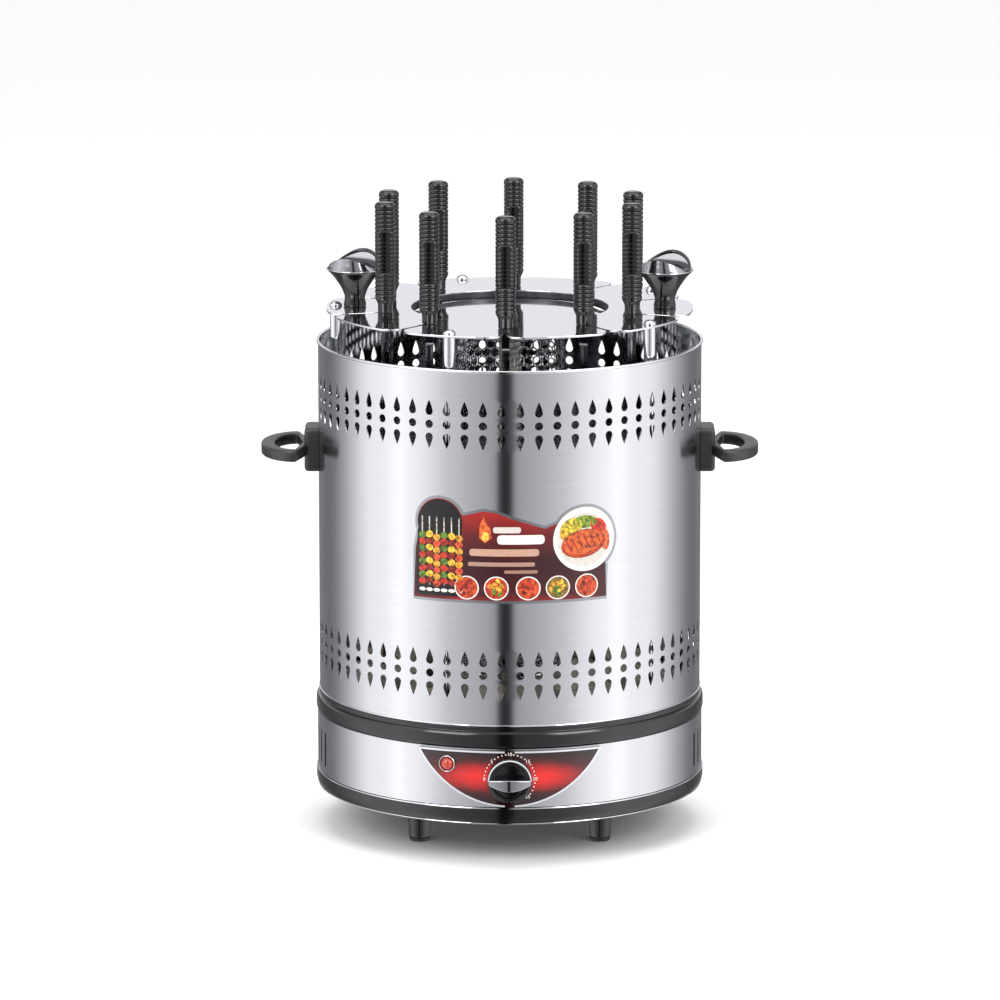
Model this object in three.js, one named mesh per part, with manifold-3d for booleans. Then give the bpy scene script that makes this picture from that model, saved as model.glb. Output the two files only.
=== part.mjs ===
// Upright electric skewer grill. A steel barrel with two side handles lifts off the base. Inside it
// stands a lift-out rack with ten skewers: each plugs into a geared drip cup, and one central gear
// turns all ten around the upright heater.
// Millimetres, +Z up, the front faces -Y, and the origin is on the table under the barrel's axis.

import * as THREE from 'three';
import { mergeVertices } from 'three/addons/utils/BufferGeometryUtils.js';
import Module from 'manifold-3d';

const wasm = await Module();
wasm.setup();

// ---------- Driving dimensions ----------

// Fits between pieces
const GAP = 0.3; // between two pieces that touch
const SLIDE_FIT = 0.4; // the barrel around the deck's lip, a blade in its socket
const RUN_FIT = 0.6; // a shaft or hub that turns in a hole

// Overall
const BARREL_R = 140;
const BARREL_HEIGHT = 259;
const OVERHANG = 17.4; // how far the timer knob and the cord gland stand out from the base band

// Barrel
const BARREL_WALL = 1;
const RIM_BEAD = 1;
const RIM_BEAD_H = 2.5;

// Base, from the table up
const FOOT_H = 28;
const FOOT_TOP_R = 9.3;
const FOOT_TIP_R = 8;
const FOOT_INSET = 47; // the feet's circle inside the barrel's radius
const PAN_H = 15;
const PAN_WALL = 3;
const PAN_EDGE = 2.4; // the pan's rounded lower edge
const UPSTAND_H = 4.5; // inside the band
const BAND_H = 42.8;
const BAND_WALL = 1;
const BAND_PROUD = 1.6; // the band outside the barrel's radius
const TRIM_H = 11.5;
const TRIM_PROUD = 1; // trim ring and pan outside the band
const DECK_T = 3;
const DECK_RISE = 3.3; // the deck's floor above the trim ring's top edge
const SEAT_RISE = 3.8; // the barrel's seat above the trim ring's top edge
const LIP_H = 5.3;
const LIP_WALL = 2.2;
const SEAT_STEP = 0.2; // the seat's outer edge inside the barrel's radius
const SKIRT_DROP = 6.4;

// Vent slots in the band, on both sides
const VENT_COUNT = 8;
const VENT_PITCH = 5; // degrees
const VENT_W = 3;
const VENT_H = 25;
const VENT_DROP = 2.5; // the slots' middle below the band's

// Rack
const RACK_TURN = -1.8; // degrees: the rack stands a little off square on the base
const SKEWER_COUNT = 10;
const POST_COUNT = 5;
const PLATE_RISE = 23; // the plate's upper face above the barrel's rim
const PLATE_T = 1.5;
const PLATE_INSET = 5.3; // the petals inside the barrel's wall
const PETAL_CORNER = 12;
const ENTRY_W = 3; // radial slot that lets a blade in from the side
const SKEWER_INSET = 39.7; // the skewers' circle inside the petals' edge
const HOLE_INSET = 22; // the central hole inside the skewers' circle
const COLLAR_WALL = 0.8; // turned-down collar of the central hole
const COLLAR_DEPTH = 6.2;
const POST_R = 4.25;
const POST_INSET = 6.7;
const POST_SCREW_R = 3;
const POST_HEAD_R = 4.6;
const POST_HEAD_H = 3.6;
const RACK_T = 2;

// Lift knobs
const KNOB_INSET = 20.7;
const KNOB_FOOT_R = 8.5;
const KNOB_RIM_R = 21;
const KNOB_RIM_H = 27.2;
const KNOB_WALL_H = 5.6; // mean height of the head's wall above the rim
const KNOB_CREST_R = 18.5;
const KNOB_SADDLE = 4.4; // how far the wall rises and dips around its mean
const KNOB_TILT = 1; // how much higher the first crest is than the mean of the two
const KNOB_CREST_TURN = 68; // degrees from +X to the first crest

// Skewers
const SPIGOT_R = 4;
const SPIGOT_DROP = 2; // the spigot below the plate
const NECK_R = 5.5;
const GRIP_R = 7.4;
const GRIP_H = 80.6;
const BLADE_W = 5.5;
const BLADE_T = 2;
const BLADE_POINT = 10;

// Drip cups and gears
const CUP_SPACE = 7; // half the space between two neighbouring cups
const CUP_H = 9;
const CUP_WALL = 1.5;
const SOCKET_R = 5.5;
const SOCKET_H = 6;
const SUN_TEETH = 50;
const CUP_TEETH = 10;
const GEAR_FACE = 5;
const AXLE_R = 4;
const HUB_R = 33;
const HUB_WALL = 3;
const BEARING_WALL = 4.4; // the deck's ring around the hub
const LOWER_MODULE = 2;
const LOWER_TEETH = 44;
const PINION_TEETH = 11;
const LOWER_FACE = 6;
const LOWER_Z = 34; // the lower gear above the pan's underside

// Heater
const GUARD_R = 40.5;
const GUARD_WALL = 1;
const GUARD_FOOT_R = 28.5;
const GUARD_FOOT_WALL = 2;
const TUBE_DROP = 7; // the tube's end below the guard's
const HEATER_R = 9;
const CAP_SPACE = 5; // ring of air between the cap and the plate
const CAP_DROP = 5; // the cap's face below the plate's
const CAP_T = 1.5;
const CAP_EDGE = 0.6;

// Side handles
const HANDLE_Z = 178; // centre above the barrel's lower edge
const BLOCK_H = 32;
const BLOCK_W = 32;
const BLOCK_PROUD = 10;
const LOOP_T = 8;
const LOOP_REACH = 42; // outer edge of the loop from the barrel
const LOOP_HALF = 41;
const LOOP_BAR = 10;
const LOOP_ARM = 5.5; // how far the arms slant out before the bow begins

// Control panel, timer and lamp
const PANEL_T = 2;
const PANEL_HALF = 66;
const PANEL_LIFT = 1; // the panel's lowest point above the pan
const PANEL_DROP = 1.4; // the panel's straight edge below the trim ring
const TIMER_DROP = 20.5; // knob centre below the panel's straight edge
const TIMER_KNOB_R = 16.2;
const TIMER_SKIRT = 7.6;
const TIMER_AIR = 0.5; // between the knob and the panel
const TIMER_BAR_W = 7;
const TIMER_SHAFT_R = 3;
const TIMER_BOX = 40;
const TIMER_BOX_H = 28;
const TIMER_BOX_D = 34;
const TIMER_BOX_SPACE = 3.3; // between the timer's face and the pan's upstand
const LAMP_X = -44.6;
const LAMP_DROP = 10.2; // below the panel's straight edge
const LAMP_BODY = 14; // the lamp's length behind its bezel
const LAMP_R = 4;
const BEZEL_R = 6.15;

// Motor and cord gland
const MOTOR_R = 24.5;
const MOTOR_H = 25;
const GLAND_R = 6.5;
const GLAND_FLANGE_R = 10;
const GLAND_RISE = 18.7; // above the band's lower edge
const GLAND_BODY = 9; // the gland's length inside its flange

// Facets of round pieces
const ROUND = 48;
const MEDIUM = 36;
const SMALL = 16;
const FINE = 12;

// ---------- Sizes that follow ----------

const BAND_R = BARREL_R + BAND_PROUD;
const TRIM_R = BAND_R + TRIM_PROUD;
const BAND_INNER = BAND_R - BAND_WALL;
const REACH = BAND_R + OVERHANG;
const PAN_Z = FOOT_H;
const PAN_TOP = PAN_Z + PAN_H;
const BAND_Z = PAN_TOP + GAP;
const BAND_TOP = BAND_Z + BAND_H;
const TRIM_Z = BAND_TOP + GAP;
const TRIM_TOP = TRIM_Z + TRIM_H;
const DECK_TOP = TRIM_TOP + DECK_RISE;
const SEAT_Z = TRIM_TOP + SEAT_RISE;
const BARREL_Z = SEAT_Z + GAP;
const BARREL_TOP = BARREL_Z + BARREL_HEIGHT;
const PLATE_TOP = BARREL_TOP + PLATE_RISE;
const PLATE_Z = PLATE_TOP - PLATE_T;

const BARREL_INNER = BARREL_R - BARREL_WALL;
const LIP_R = BARREL_INNER - SLIDE_FIT;
const PLATE_R = BARREL_INNER - PLATE_INSET;
const SKEWER_CIRCLE = PLATE_R - SKEWER_INSET;
const POST_CIRCLE = PLATE_R - POST_INSET;
const KNOB_CIRCLE = PLATE_R - KNOB_INSET;
const HOLE_R = SKEWER_CIRCLE - HOLE_INSET;
const CAP_R = HOLE_R - CAP_SPACE;
const FOOT_CIRCLE = BARREL_R - FOOT_INSET;
const SEAT_R = SPIGOT_R + GAP;

const RACK_Z = DECK_TOP + GAP;
const RACK_TOP = RACK_Z + RACK_T;
const GEAR_Z = RACK_TOP + GAP;
const GEAR_TOP = GEAR_Z + GEAR_FACE;
const DISH_Z = GEAR_TOP + 2 * GAP;
const DISH_FLOOR = DISH_Z + CUP_WALL;
const CUP_R = SKEWER_CIRCLE * Math.sin(Math.PI / SKEWER_COUNT) - CUP_SPACE;
const GEAR_MODULE = (2 * SKEWER_CIRCLE) / (SUN_TEETH + CUP_TEETH);
const ADDENDUM = 0.72; // in modules
const DEDENDUM = 1.05; // in modules
const SUN_TIP_R = GEAR_MODULE * (SUN_TEETH / 2 + ADDENDUM);
const BLADE_TIP_Z = DISH_FLOOR + 2 * GAP;
const BLADE_TOP_Z = PLATE_Z - SPIGOT_DROP - GAP;

const CAP_Z = PLATE_TOP - CAP_DROP - CAP_T;
const GUARD_TOP = CAP_Z - GAP;
const FLANGE_Z = GEAR_TOP + CUP_WALL + GUARD_WALL;
const FLOOR_Z = PAN_Z + PAN_WALL;
const PINION_DISTANCE = (LOWER_MODULE * (LOWER_TEETH + PINION_TEETH)) / 2;
const LOWER_GEAR_Z = PAN_Z + LOWER_Z;

// ---------- Helpers ----------

const rad = THREE.MathUtils.degToRad;
const v2 = (x, y) => new THREE.Vector2(x, y);

// Welded copy of a geometry, holding positions and whole triangles only.
function welded(geometry) {
  const bare = geometry.clone();
  bare.deleteAttribute('normal');
  bare.deleteAttribute('uv');
  const merged = mergeVertices(bare, 1e-4);
  const corners = merged.index.array;
  const kept = [];
  for (let i = 0; i < corners.length; i += 3) {
    const [a, b, c] = corners.slice(i, i + 3);
    if (a !== b && b !== c && c !== a) kept.push(a, b, c);
  }
  merged.setIndex(kept);
  return merged;
}

function toSolid(geometry) {
  const mesh = welded(geometry);
  return new wasm.Manifold(new wasm.Mesh({
    numProp: 3,
    vertProperties: new Float32Array(mesh.attributes.position.array),
    triVerts: Uint32Array.from(mesh.index.array),
  }));
}

function fromSolid(solid) {
  const mesh = solid.getMesh();
  const geometry = new THREE.BufferGeometry();
  geometry.setAttribute('position', new THREE.BufferAttribute(new Float32Array(mesh.vertProperties), 3));
  geometry.setIndex(new THREE.BufferAttribute(new Uint32Array(mesh.triVerts), 1));
  return geometry;
}

function join(first, ...others) {
  return fromSolid(others.reduce((sum, other) => sum.add(toSolid(other)), toSolid(first)));
}

function cut(first, ...others) {
  return fromSolid(others.reduce((rest, other) => rest.subtract(toSolid(other)), toSolid(first)));
}

function common(first, second) {
  return fromSolid(toSolid(first).intersect(toSolid(second)));
}

// Solid turned about Z from [radius, height] points. A profile off the axis closes on itself.
function turned(profile, segments) {
  const points = profile.map(([r, z]) => v2(r, z));
  if (THREE.ShapeUtils.isClockWise(points)) points.reverse();
  if (points[0].x > 0) points.push(points[0].clone());
  return welded(new THREE.LatheGeometry(points, segments).rotateX(Math.PI / 2));
}

function tube(outer, inner, bottom, top, segments) {
  return turned([[inner, bottom], [outer, bottom], [outer, top], [inner, top]], segments);
}

function rod(r, bottom, top, segments) {
  return turned([[0, bottom], [r, bottom], [r, top], [0, top]], segments);
}

// Prism of an outline in the XY plane.
function prism(shape, bottom, height, curveSegments = 12) {
  return new THREE.ExtrudeGeometry(shape, { depth: height, bevelEnabled: false, curveSegments })
    .translate(0, 0, bottom);
}

// A piece made along +Z turned to point to the front.
const facingFront = (geometry) => geometry.rotateX(Math.PI / 2);

// Box given by its two corners.
function block(low, high) {
  const size = high.map((value, axis) => value - low[axis]);
  const centre = high.map((value, axis) => (value + low[axis]) / 2);
  return new THREE.BoxGeometry(...size).translate(...centre);
}

// Straight-sided gear with one tooth on +X, thinned at the pitch line so that a pair runs freely.
function gear(module, teeth, bottom, face) {
  const pitchR = (module * teeth) / 2;
  const rootR = pitchR - DEDENDUM * module;
  const tipR = pitchR + ADDENDUM * module;
  const pitch = (2 * Math.PI) / teeth;
  const rootHalf = 0.27 * pitch;
  const tipHalf = 0.1 * pitch;
  const outline = [];
  for (let tooth = 0; tooth < teeth; tooth += 1) {
    const middle = tooth * pitch;
    for (const [r, turn] of [[rootR, -rootHalf], [tipR, -tipHalf], [tipR, tipHalf], [rootR, rootHalf]]) {
      outline.push(v2(r * Math.cos(middle + turn), r * Math.sin(middle + turn)));
    }
  }
  return prism(new THREE.Shape(outline), bottom, face);
}

// ---------- Finishes ----------

const FINISHES = {
  brushedSteel: { color: '#b4b6bb', roughness: 0.34, metalness: 1 },
  polishedSteel: { color: '#d4d6da', roughness: 0.07, metalness: 1 },
  glossBlack: { color: '#101012', roughness: 0.12, metalness: 0 },
  satinBlack: { color: '#26262a', roughness: 0.42, metalness: 0 },
  redPanel: { color: '#8e1612', roughness: 0.1, metalness: 0 },
  redLens: { color: '#e23322', roughness: 0.08, metalness: 0 },
  naturalNylon: { color: '#dedbcf', roughness: 0.5, metalness: 0 },
  zincPlate: { color: '#a9acae', roughness: 0.3, metalness: 1 },
};

function place(parent, name, finish, geometry) {
  const mesh = new THREE.Mesh(geometry, new THREE.MeshStandardMaterial(FINISHES[finish]));
  mesh.name = name;
  parent.add(mesh);
  return mesh;
}

function subgroup(parent, x = 0, y = 0, turnDegrees = 0) {
  const group = new THREE.Group();
  group.position.set(x, y, 0);
  group.rotation.z = rad(turnDegrees);
  parent.add(group);
  return group;
}

const onCircle = (r, degrees) => [r * Math.cos(rad(degrees)), r * Math.sin(rad(degrees))];

const grill = new THREE.Group();

// ---------- Base ----------

// Moulded pan with a rounded lower edge and an upstand inside the band.
const panUpstand = BAND_INNER - GAP;
place(grill, 'base_pan', 'glossBlack', turned([
  [0, PAN_Z],
  [TRIM_R - 10, PAN_Z],
  [TRIM_R - PAN_EDGE, PAN_Z + PAN_EDGE],
  [TRIM_R, PAN_Z + 5.5],
  [TRIM_R, PAN_TOP - 2],
  [TRIM_R - 1, PAN_TOP],
  [panUpstand, PAN_TOP],
  [panUpstand, PAN_TOP + UPSTAND_H],
  [panUpstand - PAN_WALL, PAN_TOP + UPSTAND_H],
  [panUpstand - PAN_WALL, FLOOR_Z],
  [0, FLOOR_Z],
], ROUND));

for (let i = 0; i < 4; i += 1) {
  const foot = subgroup(grill, ...onCircle(FOOT_CIRCLE, 45 + 90 * i));
  place(foot, `foot_${i + 1}`, 'satinBlack', turned([
    [0, 0],
    [FOOT_TIP_R - 1, 0],
    [FOOT_TIP_R, 1],
    [FOOT_TOP_R, PAN_Z - GAP],
    [0, PAN_Z - GAP],
  ], SMALL));
}

// Steel band with vent slots on both sides and holes for the timer shaft, the lamp and the cord gland.
const panelTop = TRIM_Z - PANEL_DROP;
const timerZ = panelTop - TIMER_DROP;
const lampZ = panelTop - LAMP_DROP;
const glandZ = BAND_Z + GLAND_RISE;
const panelInner = BAND_R + GAP;
const panelOuter = panelInner + PANEL_T;
const lampTurn = THREE.MathUtils.radToDeg(Math.asin(LAMP_X / panelOuter));
const holeStart = BAND_R - 15;
const holeEnd = BAND_R + 15;
const shaftHole = facingFront(rod(TIMER_SHAFT_R + RUN_FIT, holeStart, holeEnd, SMALL)).translate(0, 0, timerZ);
const lampHole = facingFront(rod(LAMP_R + GAP, holeStart, holeEnd, SMALL)).translate(0, 0, lampZ)
  .rotateZ(rad(lampTurn));
const glandHole = facingFront(rod(GLAND_R + GAP, holeStart, holeEnd, SMALL)).translate(0, 0, glandZ)
  .rotateZ(Math.PI);
const ventMiddle = BAND_Z + BAND_H / 2 - VENT_DROP;
const vents = [];
for (const side of [0, 180]) {
  for (let i = 0; i < VENT_COUNT; i += 1) {
    const turn = side + (i - (VENT_COUNT - 1) / 2) * VENT_PITCH;
    vents.push(new THREE.BoxGeometry(20, VENT_W, VENT_H).translate(BAND_R, 0, ventMiddle).rotateZ(rad(turn)));
  }
}
place(grill, 'base_band', 'brushedSteel', cut(
  tube(BAND_R, BAND_INNER, BAND_Z, BAND_TOP, ROUND), shaftHole, lampHole, glandHole, ...vents,
));

// Deck: trim ring, floor, seat and locating lip for the barrel, and the drive gear's bearing ring.
const deckSkirt = BAND_INNER - GAP;
const hubHole = HUB_R + RUN_FIT;
place(grill, 'base_deck', 'glossBlack', turned([
  [hubHole, DECK_TOP - DECK_T],
  [deckSkirt - PAN_WALL, DECK_TOP - DECK_T],
  [deckSkirt - PAN_WALL, TRIM_Z - SKIRT_DROP],
  [deckSkirt, TRIM_Z - SKIRT_DROP],
  [deckSkirt, TRIM_Z],
  [TRIM_R - 0.8, TRIM_Z],
  [TRIM_R, TRIM_Z + 2],
  [TRIM_R, TRIM_TOP - 2.4],
  [TRIM_R - 1, TRIM_TOP],
  [BARREL_R - SEAT_STEP, TRIM_TOP],
  [BARREL_R - SEAT_STEP, SEAT_Z],
  [LIP_R, SEAT_Z],
  [LIP_R, SEAT_Z + LIP_H],
  [LIP_R - LIP_WALL, SEAT_Z + LIP_H],
  [LIP_R - LIP_WALL, DECK_TOP],
  [hubHole + BEARING_WALL, DECK_TOP],
  [hubHole + BEARING_WALL, GEAR_Z - GAP],
  [hubHole, GEAR_Z - GAP],
], ROUND));

// Curved control panel, cut to a lens outline.
const panelBottom = PAN_TOP + PANEL_LIFT;
const panelHeight = panelTop - panelBottom;
const lensR = (PANEL_HALF ** 2 + panelHeight ** 2) / (2 * panelHeight);
const lensHalfTurn = Math.asin(PANEL_HALF / lensR);
const lens = new THREE.Shape();
lens.moveTo(PANEL_HALF, panelTop);
lens.lineTo(-PANEL_HALF, panelTop);
lens.absarc(0, panelBottom + lensR, lensR, -Math.PI / 2 - lensHalfTurn, -Math.PI / 2 + lensHalfTurn);
const lensPrism = facingFront(prism(lens, 0, REACH, 12));
place(grill, 'control_panel', 'redPanel', cut(
  common(tube(panelOuter, panelInner, panelBottom, panelTop, ROUND), lensPrism),
  shaftHole,
  lampHole,
));

// Timer knob: skirted disc with a grip bar across it, and its shaft.
const timerBack = panelOuter + TIMER_AIR;
const timerFace = timerBack + TIMER_SKIRT;
const timerBoxFace = panUpstand - PAN_WALL - TIMER_BOX_SPACE;
place(grill, 'timer_knob', 'glossBlack', join(
  facingFront(turned([
    [0, timerBoxFace + GAP],
    [TIMER_SHAFT_R, timerBoxFace + GAP],
    [TIMER_SHAFT_R, timerBack],
    [TIMER_KNOB_R, timerBack],
    [TIMER_KNOB_R, timerFace - 2],
    [TIMER_KNOB_R - 1.6, timerFace],
    [0, timerFace],
  ], 24)),
  block(
    [1.5 - TIMER_KNOB_R, -REACH, -TIMER_BAR_W / 2],
    [TIMER_KNOB_R - 1.5, 1 - timerFace, TIMER_BAR_W / 2],
  ),
).translate(0, 0, timerZ));

place(grill, 'timer_unit', 'zincPlate', block(
  [-TIMER_BOX / 2, -timerBoxFace, timerZ - TIMER_BOX_H / 2],
  [TIMER_BOX / 2, TIMER_BOX_D - timerBoxFace, timerZ + TIMER_BOX_H / 2],
));

// Neon lamp: lens and bezel outside the panel, body behind it.
const lampSeat = panelOuter + GAP;
const lamp = subgroup(grill, 0, 0, lampTurn);
place(lamp, 'indicator_lamp', 'redLens', facingFront(turned([
  [0, lampSeat - LAMP_BODY],
  [LAMP_R, lampSeat - LAMP_BODY],
  [LAMP_R, lampSeat],
  [BEZEL_R, lampSeat],
  [BEZEL_R, lampSeat + 1.2],
  [BEZEL_R - 1.6, lampSeat + 2.6],
  [LAMP_R * 0.6, lampSeat + 4],
  [0, lampSeat + 4.5],
], SMALL)).translate(0, 0, lampZ));

// Cord gland at the back.
const glandSeat = BAND_R + GAP;
place(grill, 'cord_gland', 'satinBlack', facingFront(turned([
  [0, glandSeat - GLAND_BODY],
  [GLAND_R, glandSeat - GLAND_BODY],
  [GLAND_R, glandSeat],
  [GLAND_FLANGE_R, glandSeat],
  [GLAND_FLANGE_R, glandSeat + 3],
  [GLAND_R + 1, glandSeat + 4.2],
  [GLAND_R - 0.6, REACH],
  [0, REACH],
], SMALL)).translate(0, 0, glandZ).rotateZ(Math.PI));

// ---------- Drive ----------

place(subgroup(grill, 0, PINION_DISTANCE), 'gear_motor', 'zincPlate',
  rod(MOTOR_R, FLOOR_Z + GAP, FLOOR_Z + GAP + MOTOR_H, 24));

const motorTop = FLOOR_Z + GAP + MOTOR_H;
place(subgroup(grill, 0, PINION_DISTANCE), 'motor_pinion', 'naturalNylon', join(
  gear(LOWER_MODULE, PINION_TEETH, LOWER_GEAR_Z - 1, LOWER_FACE + 2).rotateZ(Math.PI / 2),
  rod(LOWER_MODULE * 2, motorTop + GAP, LOWER_GEAR_Z, FINE),
));

// One moulding: the sun gear above the deck, its hub, and the lower gear that the pinion turns.
const drive = subgroup(grill, 0, 0, RACK_TURN);
const hubInner = HUB_R - HUB_WALL;
place(drive, 'drive_gear', 'naturalNylon', cut(
  join(
    gear(GEAR_MODULE, SUN_TEETH, GEAR_Z, GEAR_FACE),
    rod(HUB_R, LOWER_GEAR_Z, GEAR_TOP, MEDIUM),
    gear(LOWER_MODULE, LOWER_TEETH, LOWER_GEAR_Z, LOWER_FACE).rotateZ(-rad(RACK_TURN)),
  ),
  rod(hubInner, LOWER_GEAR_Z - 1, GEAR_TOP + 1, MEDIUM),
));

// ---------- Heater ----------

// Guard of round mesh with its flange and the foot tube that stands on the pan inside the hub.
place(grill, 'heater_guard', 'polishedSteel', turned([
  [GUARD_FOOT_R - GUARD_FOOT_WALL, FLOOR_Z + GAP],
  [GUARD_FOOT_R, FLOOR_Z + GAP],
  [GUARD_FOOT_R, FLANGE_Z],
  [GUARD_R, FLANGE_Z],
  [GUARD_R, GUARD_TOP],
  [GUARD_R - GUARD_WALL, GUARD_TOP],
  [GUARD_R - GUARD_WALL, FLANGE_Z + CUP_WALL],
  [GUARD_FOOT_R - GUARD_FOOT_WALL, FLANGE_Z + CUP_WALL],
], MEDIUM));

place(grill, 'heater_tube', 'zincPlate', rod(HEATER_R, FLOOR_Z + GAP, GUARD_TOP - TUBE_DROP, FINE));

place(grill, 'heater_cap', 'polishedSteel', turned([
  [0, CAP_Z],
  [CAP_R - CAP_EDGE, CAP_Z],
  [CAP_R, CAP_Z + CAP_EDGE],
  [CAP_R, CAP_Z + CAP_T],
  [0, CAP_Z + CAP_T],
], ROUND));

// ---------- Rack ----------

const rack = subgroup(grill, 0, 0, RACK_TURN);
const skewerAngles = Array.from({ length: SKEWER_COUNT }, (_, i) => ((i + 0.5) * 360) / SKEWER_COUNT);
const postAngles = Array.from({ length: POST_COUNT }, (_, i) => ((i + 0.5) * 360) / POST_COUNT);

// Ten petals: between two of them a slot leads in to a round seat.
const petals = new THREE.Shape();
const slotHalf = ENTRY_W / 2;
const cornerOffset = slotHalf + PETAL_CORNER;
const cornerReach = PLATE_R - PETAL_CORNER;
const cornerAlong = Math.sqrt(cornerReach ** 2 - cornerOffset ** 2);
const cornerTurn = Math.asin(cornerOffset / cornerReach);
skewerAngles.forEach((degrees, i) => {
  const a = rad(degrees);
  const at = (along, across) => [
    along * Math.cos(a) - across * Math.sin(a),
    along * Math.sin(a) + across * Math.cos(a),
  ];
  const [beforeX, beforeY] = at(cornerAlong, -cornerOffset);
  const [afterX, afterY] = at(cornerAlong, cornerOffset);
  if (i === 0) petals.moveTo(...onCircle(PLATE_R, degrees - THREE.MathUtils.radToDeg(cornerTurn)));
  else petals.absarc(0, 0, PLATE_R, a - rad(360 / SKEWER_COUNT) + cornerTurn, a - cornerTurn);
  petals.absarc(beforeX, beforeY, PETAL_CORNER, a - cornerTurn, a + Math.PI / 2);
  petals.lineTo(...at(SKEWER_CIRCLE, -slotHalf));
  petals.lineTo(...at(SKEWER_CIRCLE, slotHalf));
  petals.absarc(afterX, afterY, PETAL_CORNER, a - Math.PI / 2, a + cornerTurn);
});
petals.absarc(0, 0, PLATE_R, rad(-180 / SKEWER_COUNT) + cornerTurn, rad(180 / SKEWER_COUNT) - cornerTurn);
const throughPlate = (r, x, y, segments) => rod(r, PLATE_TOP - COLLAR_DEPTH - 1, PLATE_TOP + 1, segments)
  .translate(x, y, 0);
place(rack, 'top_plate', 'polishedSteel', cut(
  join(
    prism(petals, PLATE_Z, PLATE_T, 2),
    rod(HOLE_R + COLLAR_WALL, PLATE_TOP - COLLAR_DEPTH, PLATE_TOP - PLATE_T / 2, ROUND),
  ),
  throughPlate(HOLE_R, 0, 0, ROUND),
  ...skewerAngles.map((degrees) => throughPlate(SEAT_R, ...onCircle(SKEWER_CIRCLE, degrees), SMALL)),
  ...postAngles.map((degrees) => throughPlate(POST_SCREW_R + GAP, ...onCircle(POST_CIRCLE, degrees), FINE)),
));

// Ring under the posts, with a bearing hole for each cup.
const cupHoles = skewerAngles.map((degrees) => rod(AXLE_R + GAP, RACK_Z - 1, RACK_TOP + 1, FINE)
  .translate(...onCircle(SKEWER_CIRCLE, degrees), 0));
place(rack, 'rack_base', 'zincPlate', cut(
  tube(POST_CIRCLE + POST_R + 2, SUN_TIP_R + CUP_WALL, RACK_Z, RACK_TOP, ROUND),
  ...cupHoles,
));

const postGeometry = turned([
  [0, RACK_TOP + GAP],
  [POST_R, RACK_TOP + GAP],
  [POST_R, PLATE_Z - GAP],
  [POST_SCREW_R, PLATE_Z - GAP],
  [POST_SCREW_R, PLATE_TOP + GAP],
  [POST_HEAD_R, PLATE_TOP + GAP],
  [POST_HEAD_R - 0.5, PLATE_TOP + GAP + POST_HEAD_H * 0.45],
  [POST_HEAD_R * 0.55, PLATE_TOP + GAP + POST_HEAD_H * 0.86],
  [0, PLATE_TOP + GAP + POST_HEAD_H],
], FINE);
postAngles.forEach((degrees, i) => {
  place(subgroup(rack, ...onCircle(POST_CIRCLE, degrees)), `rack_post_${i + 1}`, 'polishedSteel', postGeometry);
});

// Trumpet-shaped stem under a head whose wall rises to two crests, with a hollow between them.
const knobZ = PLATE_TOP + GAP;
const knobRimZ = knobZ + KNOB_RIM_H + 0.4;
const stemWaist = KNOB_FOOT_R - 1.2;
const knobGeometry = turned([
  [0, knobZ],
  [KNOB_FOOT_R, knobZ],
  [stemWaist, knobZ + KNOB_RIM_H * 0.22],
  [stemWaist + 1, knobZ + KNOB_RIM_H * 0.45],
  [KNOB_RIM_R * 0.62, knobZ + KNOB_RIM_H * 0.78],
  [KNOB_RIM_R, knobZ + KNOB_RIM_H - 0.8],
  [KNOB_RIM_R, knobRimZ],
  [(KNOB_RIM_R + KNOB_CREST_R) / 2, knobRimZ + KNOB_WALL_H * 0.6],
  [KNOB_CREST_R, knobRimZ + KNOB_WALL_H],
  [KNOB_CREST_R - 1.6, knobRimZ + KNOB_WALL_H * 0.96],
  [KNOB_CREST_R * 0.6, knobRimZ + KNOB_WALL_H * 0.72],
  [KNOB_CREST_R * 0.28, knobRimZ + KNOB_WALL_H * 0.62],
  [0, knobRimZ + KNOB_WALL_H * 0.6],
], 24);
const knobPoints = knobGeometry.attributes.position;
for (let i = 0; i < knobPoints.count; i += 1) {
  const [x, y, z] = [knobPoints.getX(i), knobPoints.getY(i), knobPoints.getZ(i)];
  if (z > knobRimZ + 0.01) {
    const turn = Math.atan2(y, x) - rad(KNOB_CREST_TURN);
    const share = ((z - knobRimZ) / KNOB_WALL_H) * Math.min(1, Math.hypot(x, y) / KNOB_CREST_R) ** 2;
    knobPoints.setZ(i, z + share * (KNOB_SADDLE * Math.cos(2 * turn) + KNOB_TILT * Math.cos(turn)));
  }
}
place(subgroup(rack, KNOB_CIRCLE, 0), 'lift_knob_right', 'glossBlack', knobGeometry);
place(subgroup(rack, -KNOB_CIRCLE, 0), 'lift_knob_left', 'glossBlack', knobGeometry);

// ---------- Cups and skewers ----------

// The cup's gear has a tooth towards the sun gear at every seat, because 36 degrees is one tooth.
const socketSlot = block(
  [-BLADE_W / 2 - SLIDE_FIT, -BLADE_T / 2 - SLIDE_FIT, DISH_FLOOR],
  [BLADE_W / 2 + SLIDE_FIT, BLADE_T / 2 + SLIDE_FIT, DISH_FLOOR + SOCKET_H + 1],
);
const cupGeometry = cut(
  join(
    gear(GEAR_MODULE, CUP_TEETH, GEAR_Z, DISH_Z - GEAR_Z).rotateZ(Math.PI / CUP_TEETH),
    rod(AXLE_R, RACK_Z, GEAR_Z, FINE),
    turned([
      [0, DISH_Z],
      [CUP_R - 2.5, DISH_Z],
      [CUP_R, DISH_Z + CUP_H],
      [CUP_R - CUP_WALL, DISH_Z + CUP_H],
      [CUP_R - CUP_WALL - 2.3, DISH_FLOOR],
      [SOCKET_R, DISH_FLOOR],
      [SOCKET_R, DISH_FLOOR + SOCKET_H],
      [0, DISH_FLOOR + SOCKET_H],
    ], FINE),
  ),
  socketSlot,
);

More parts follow.
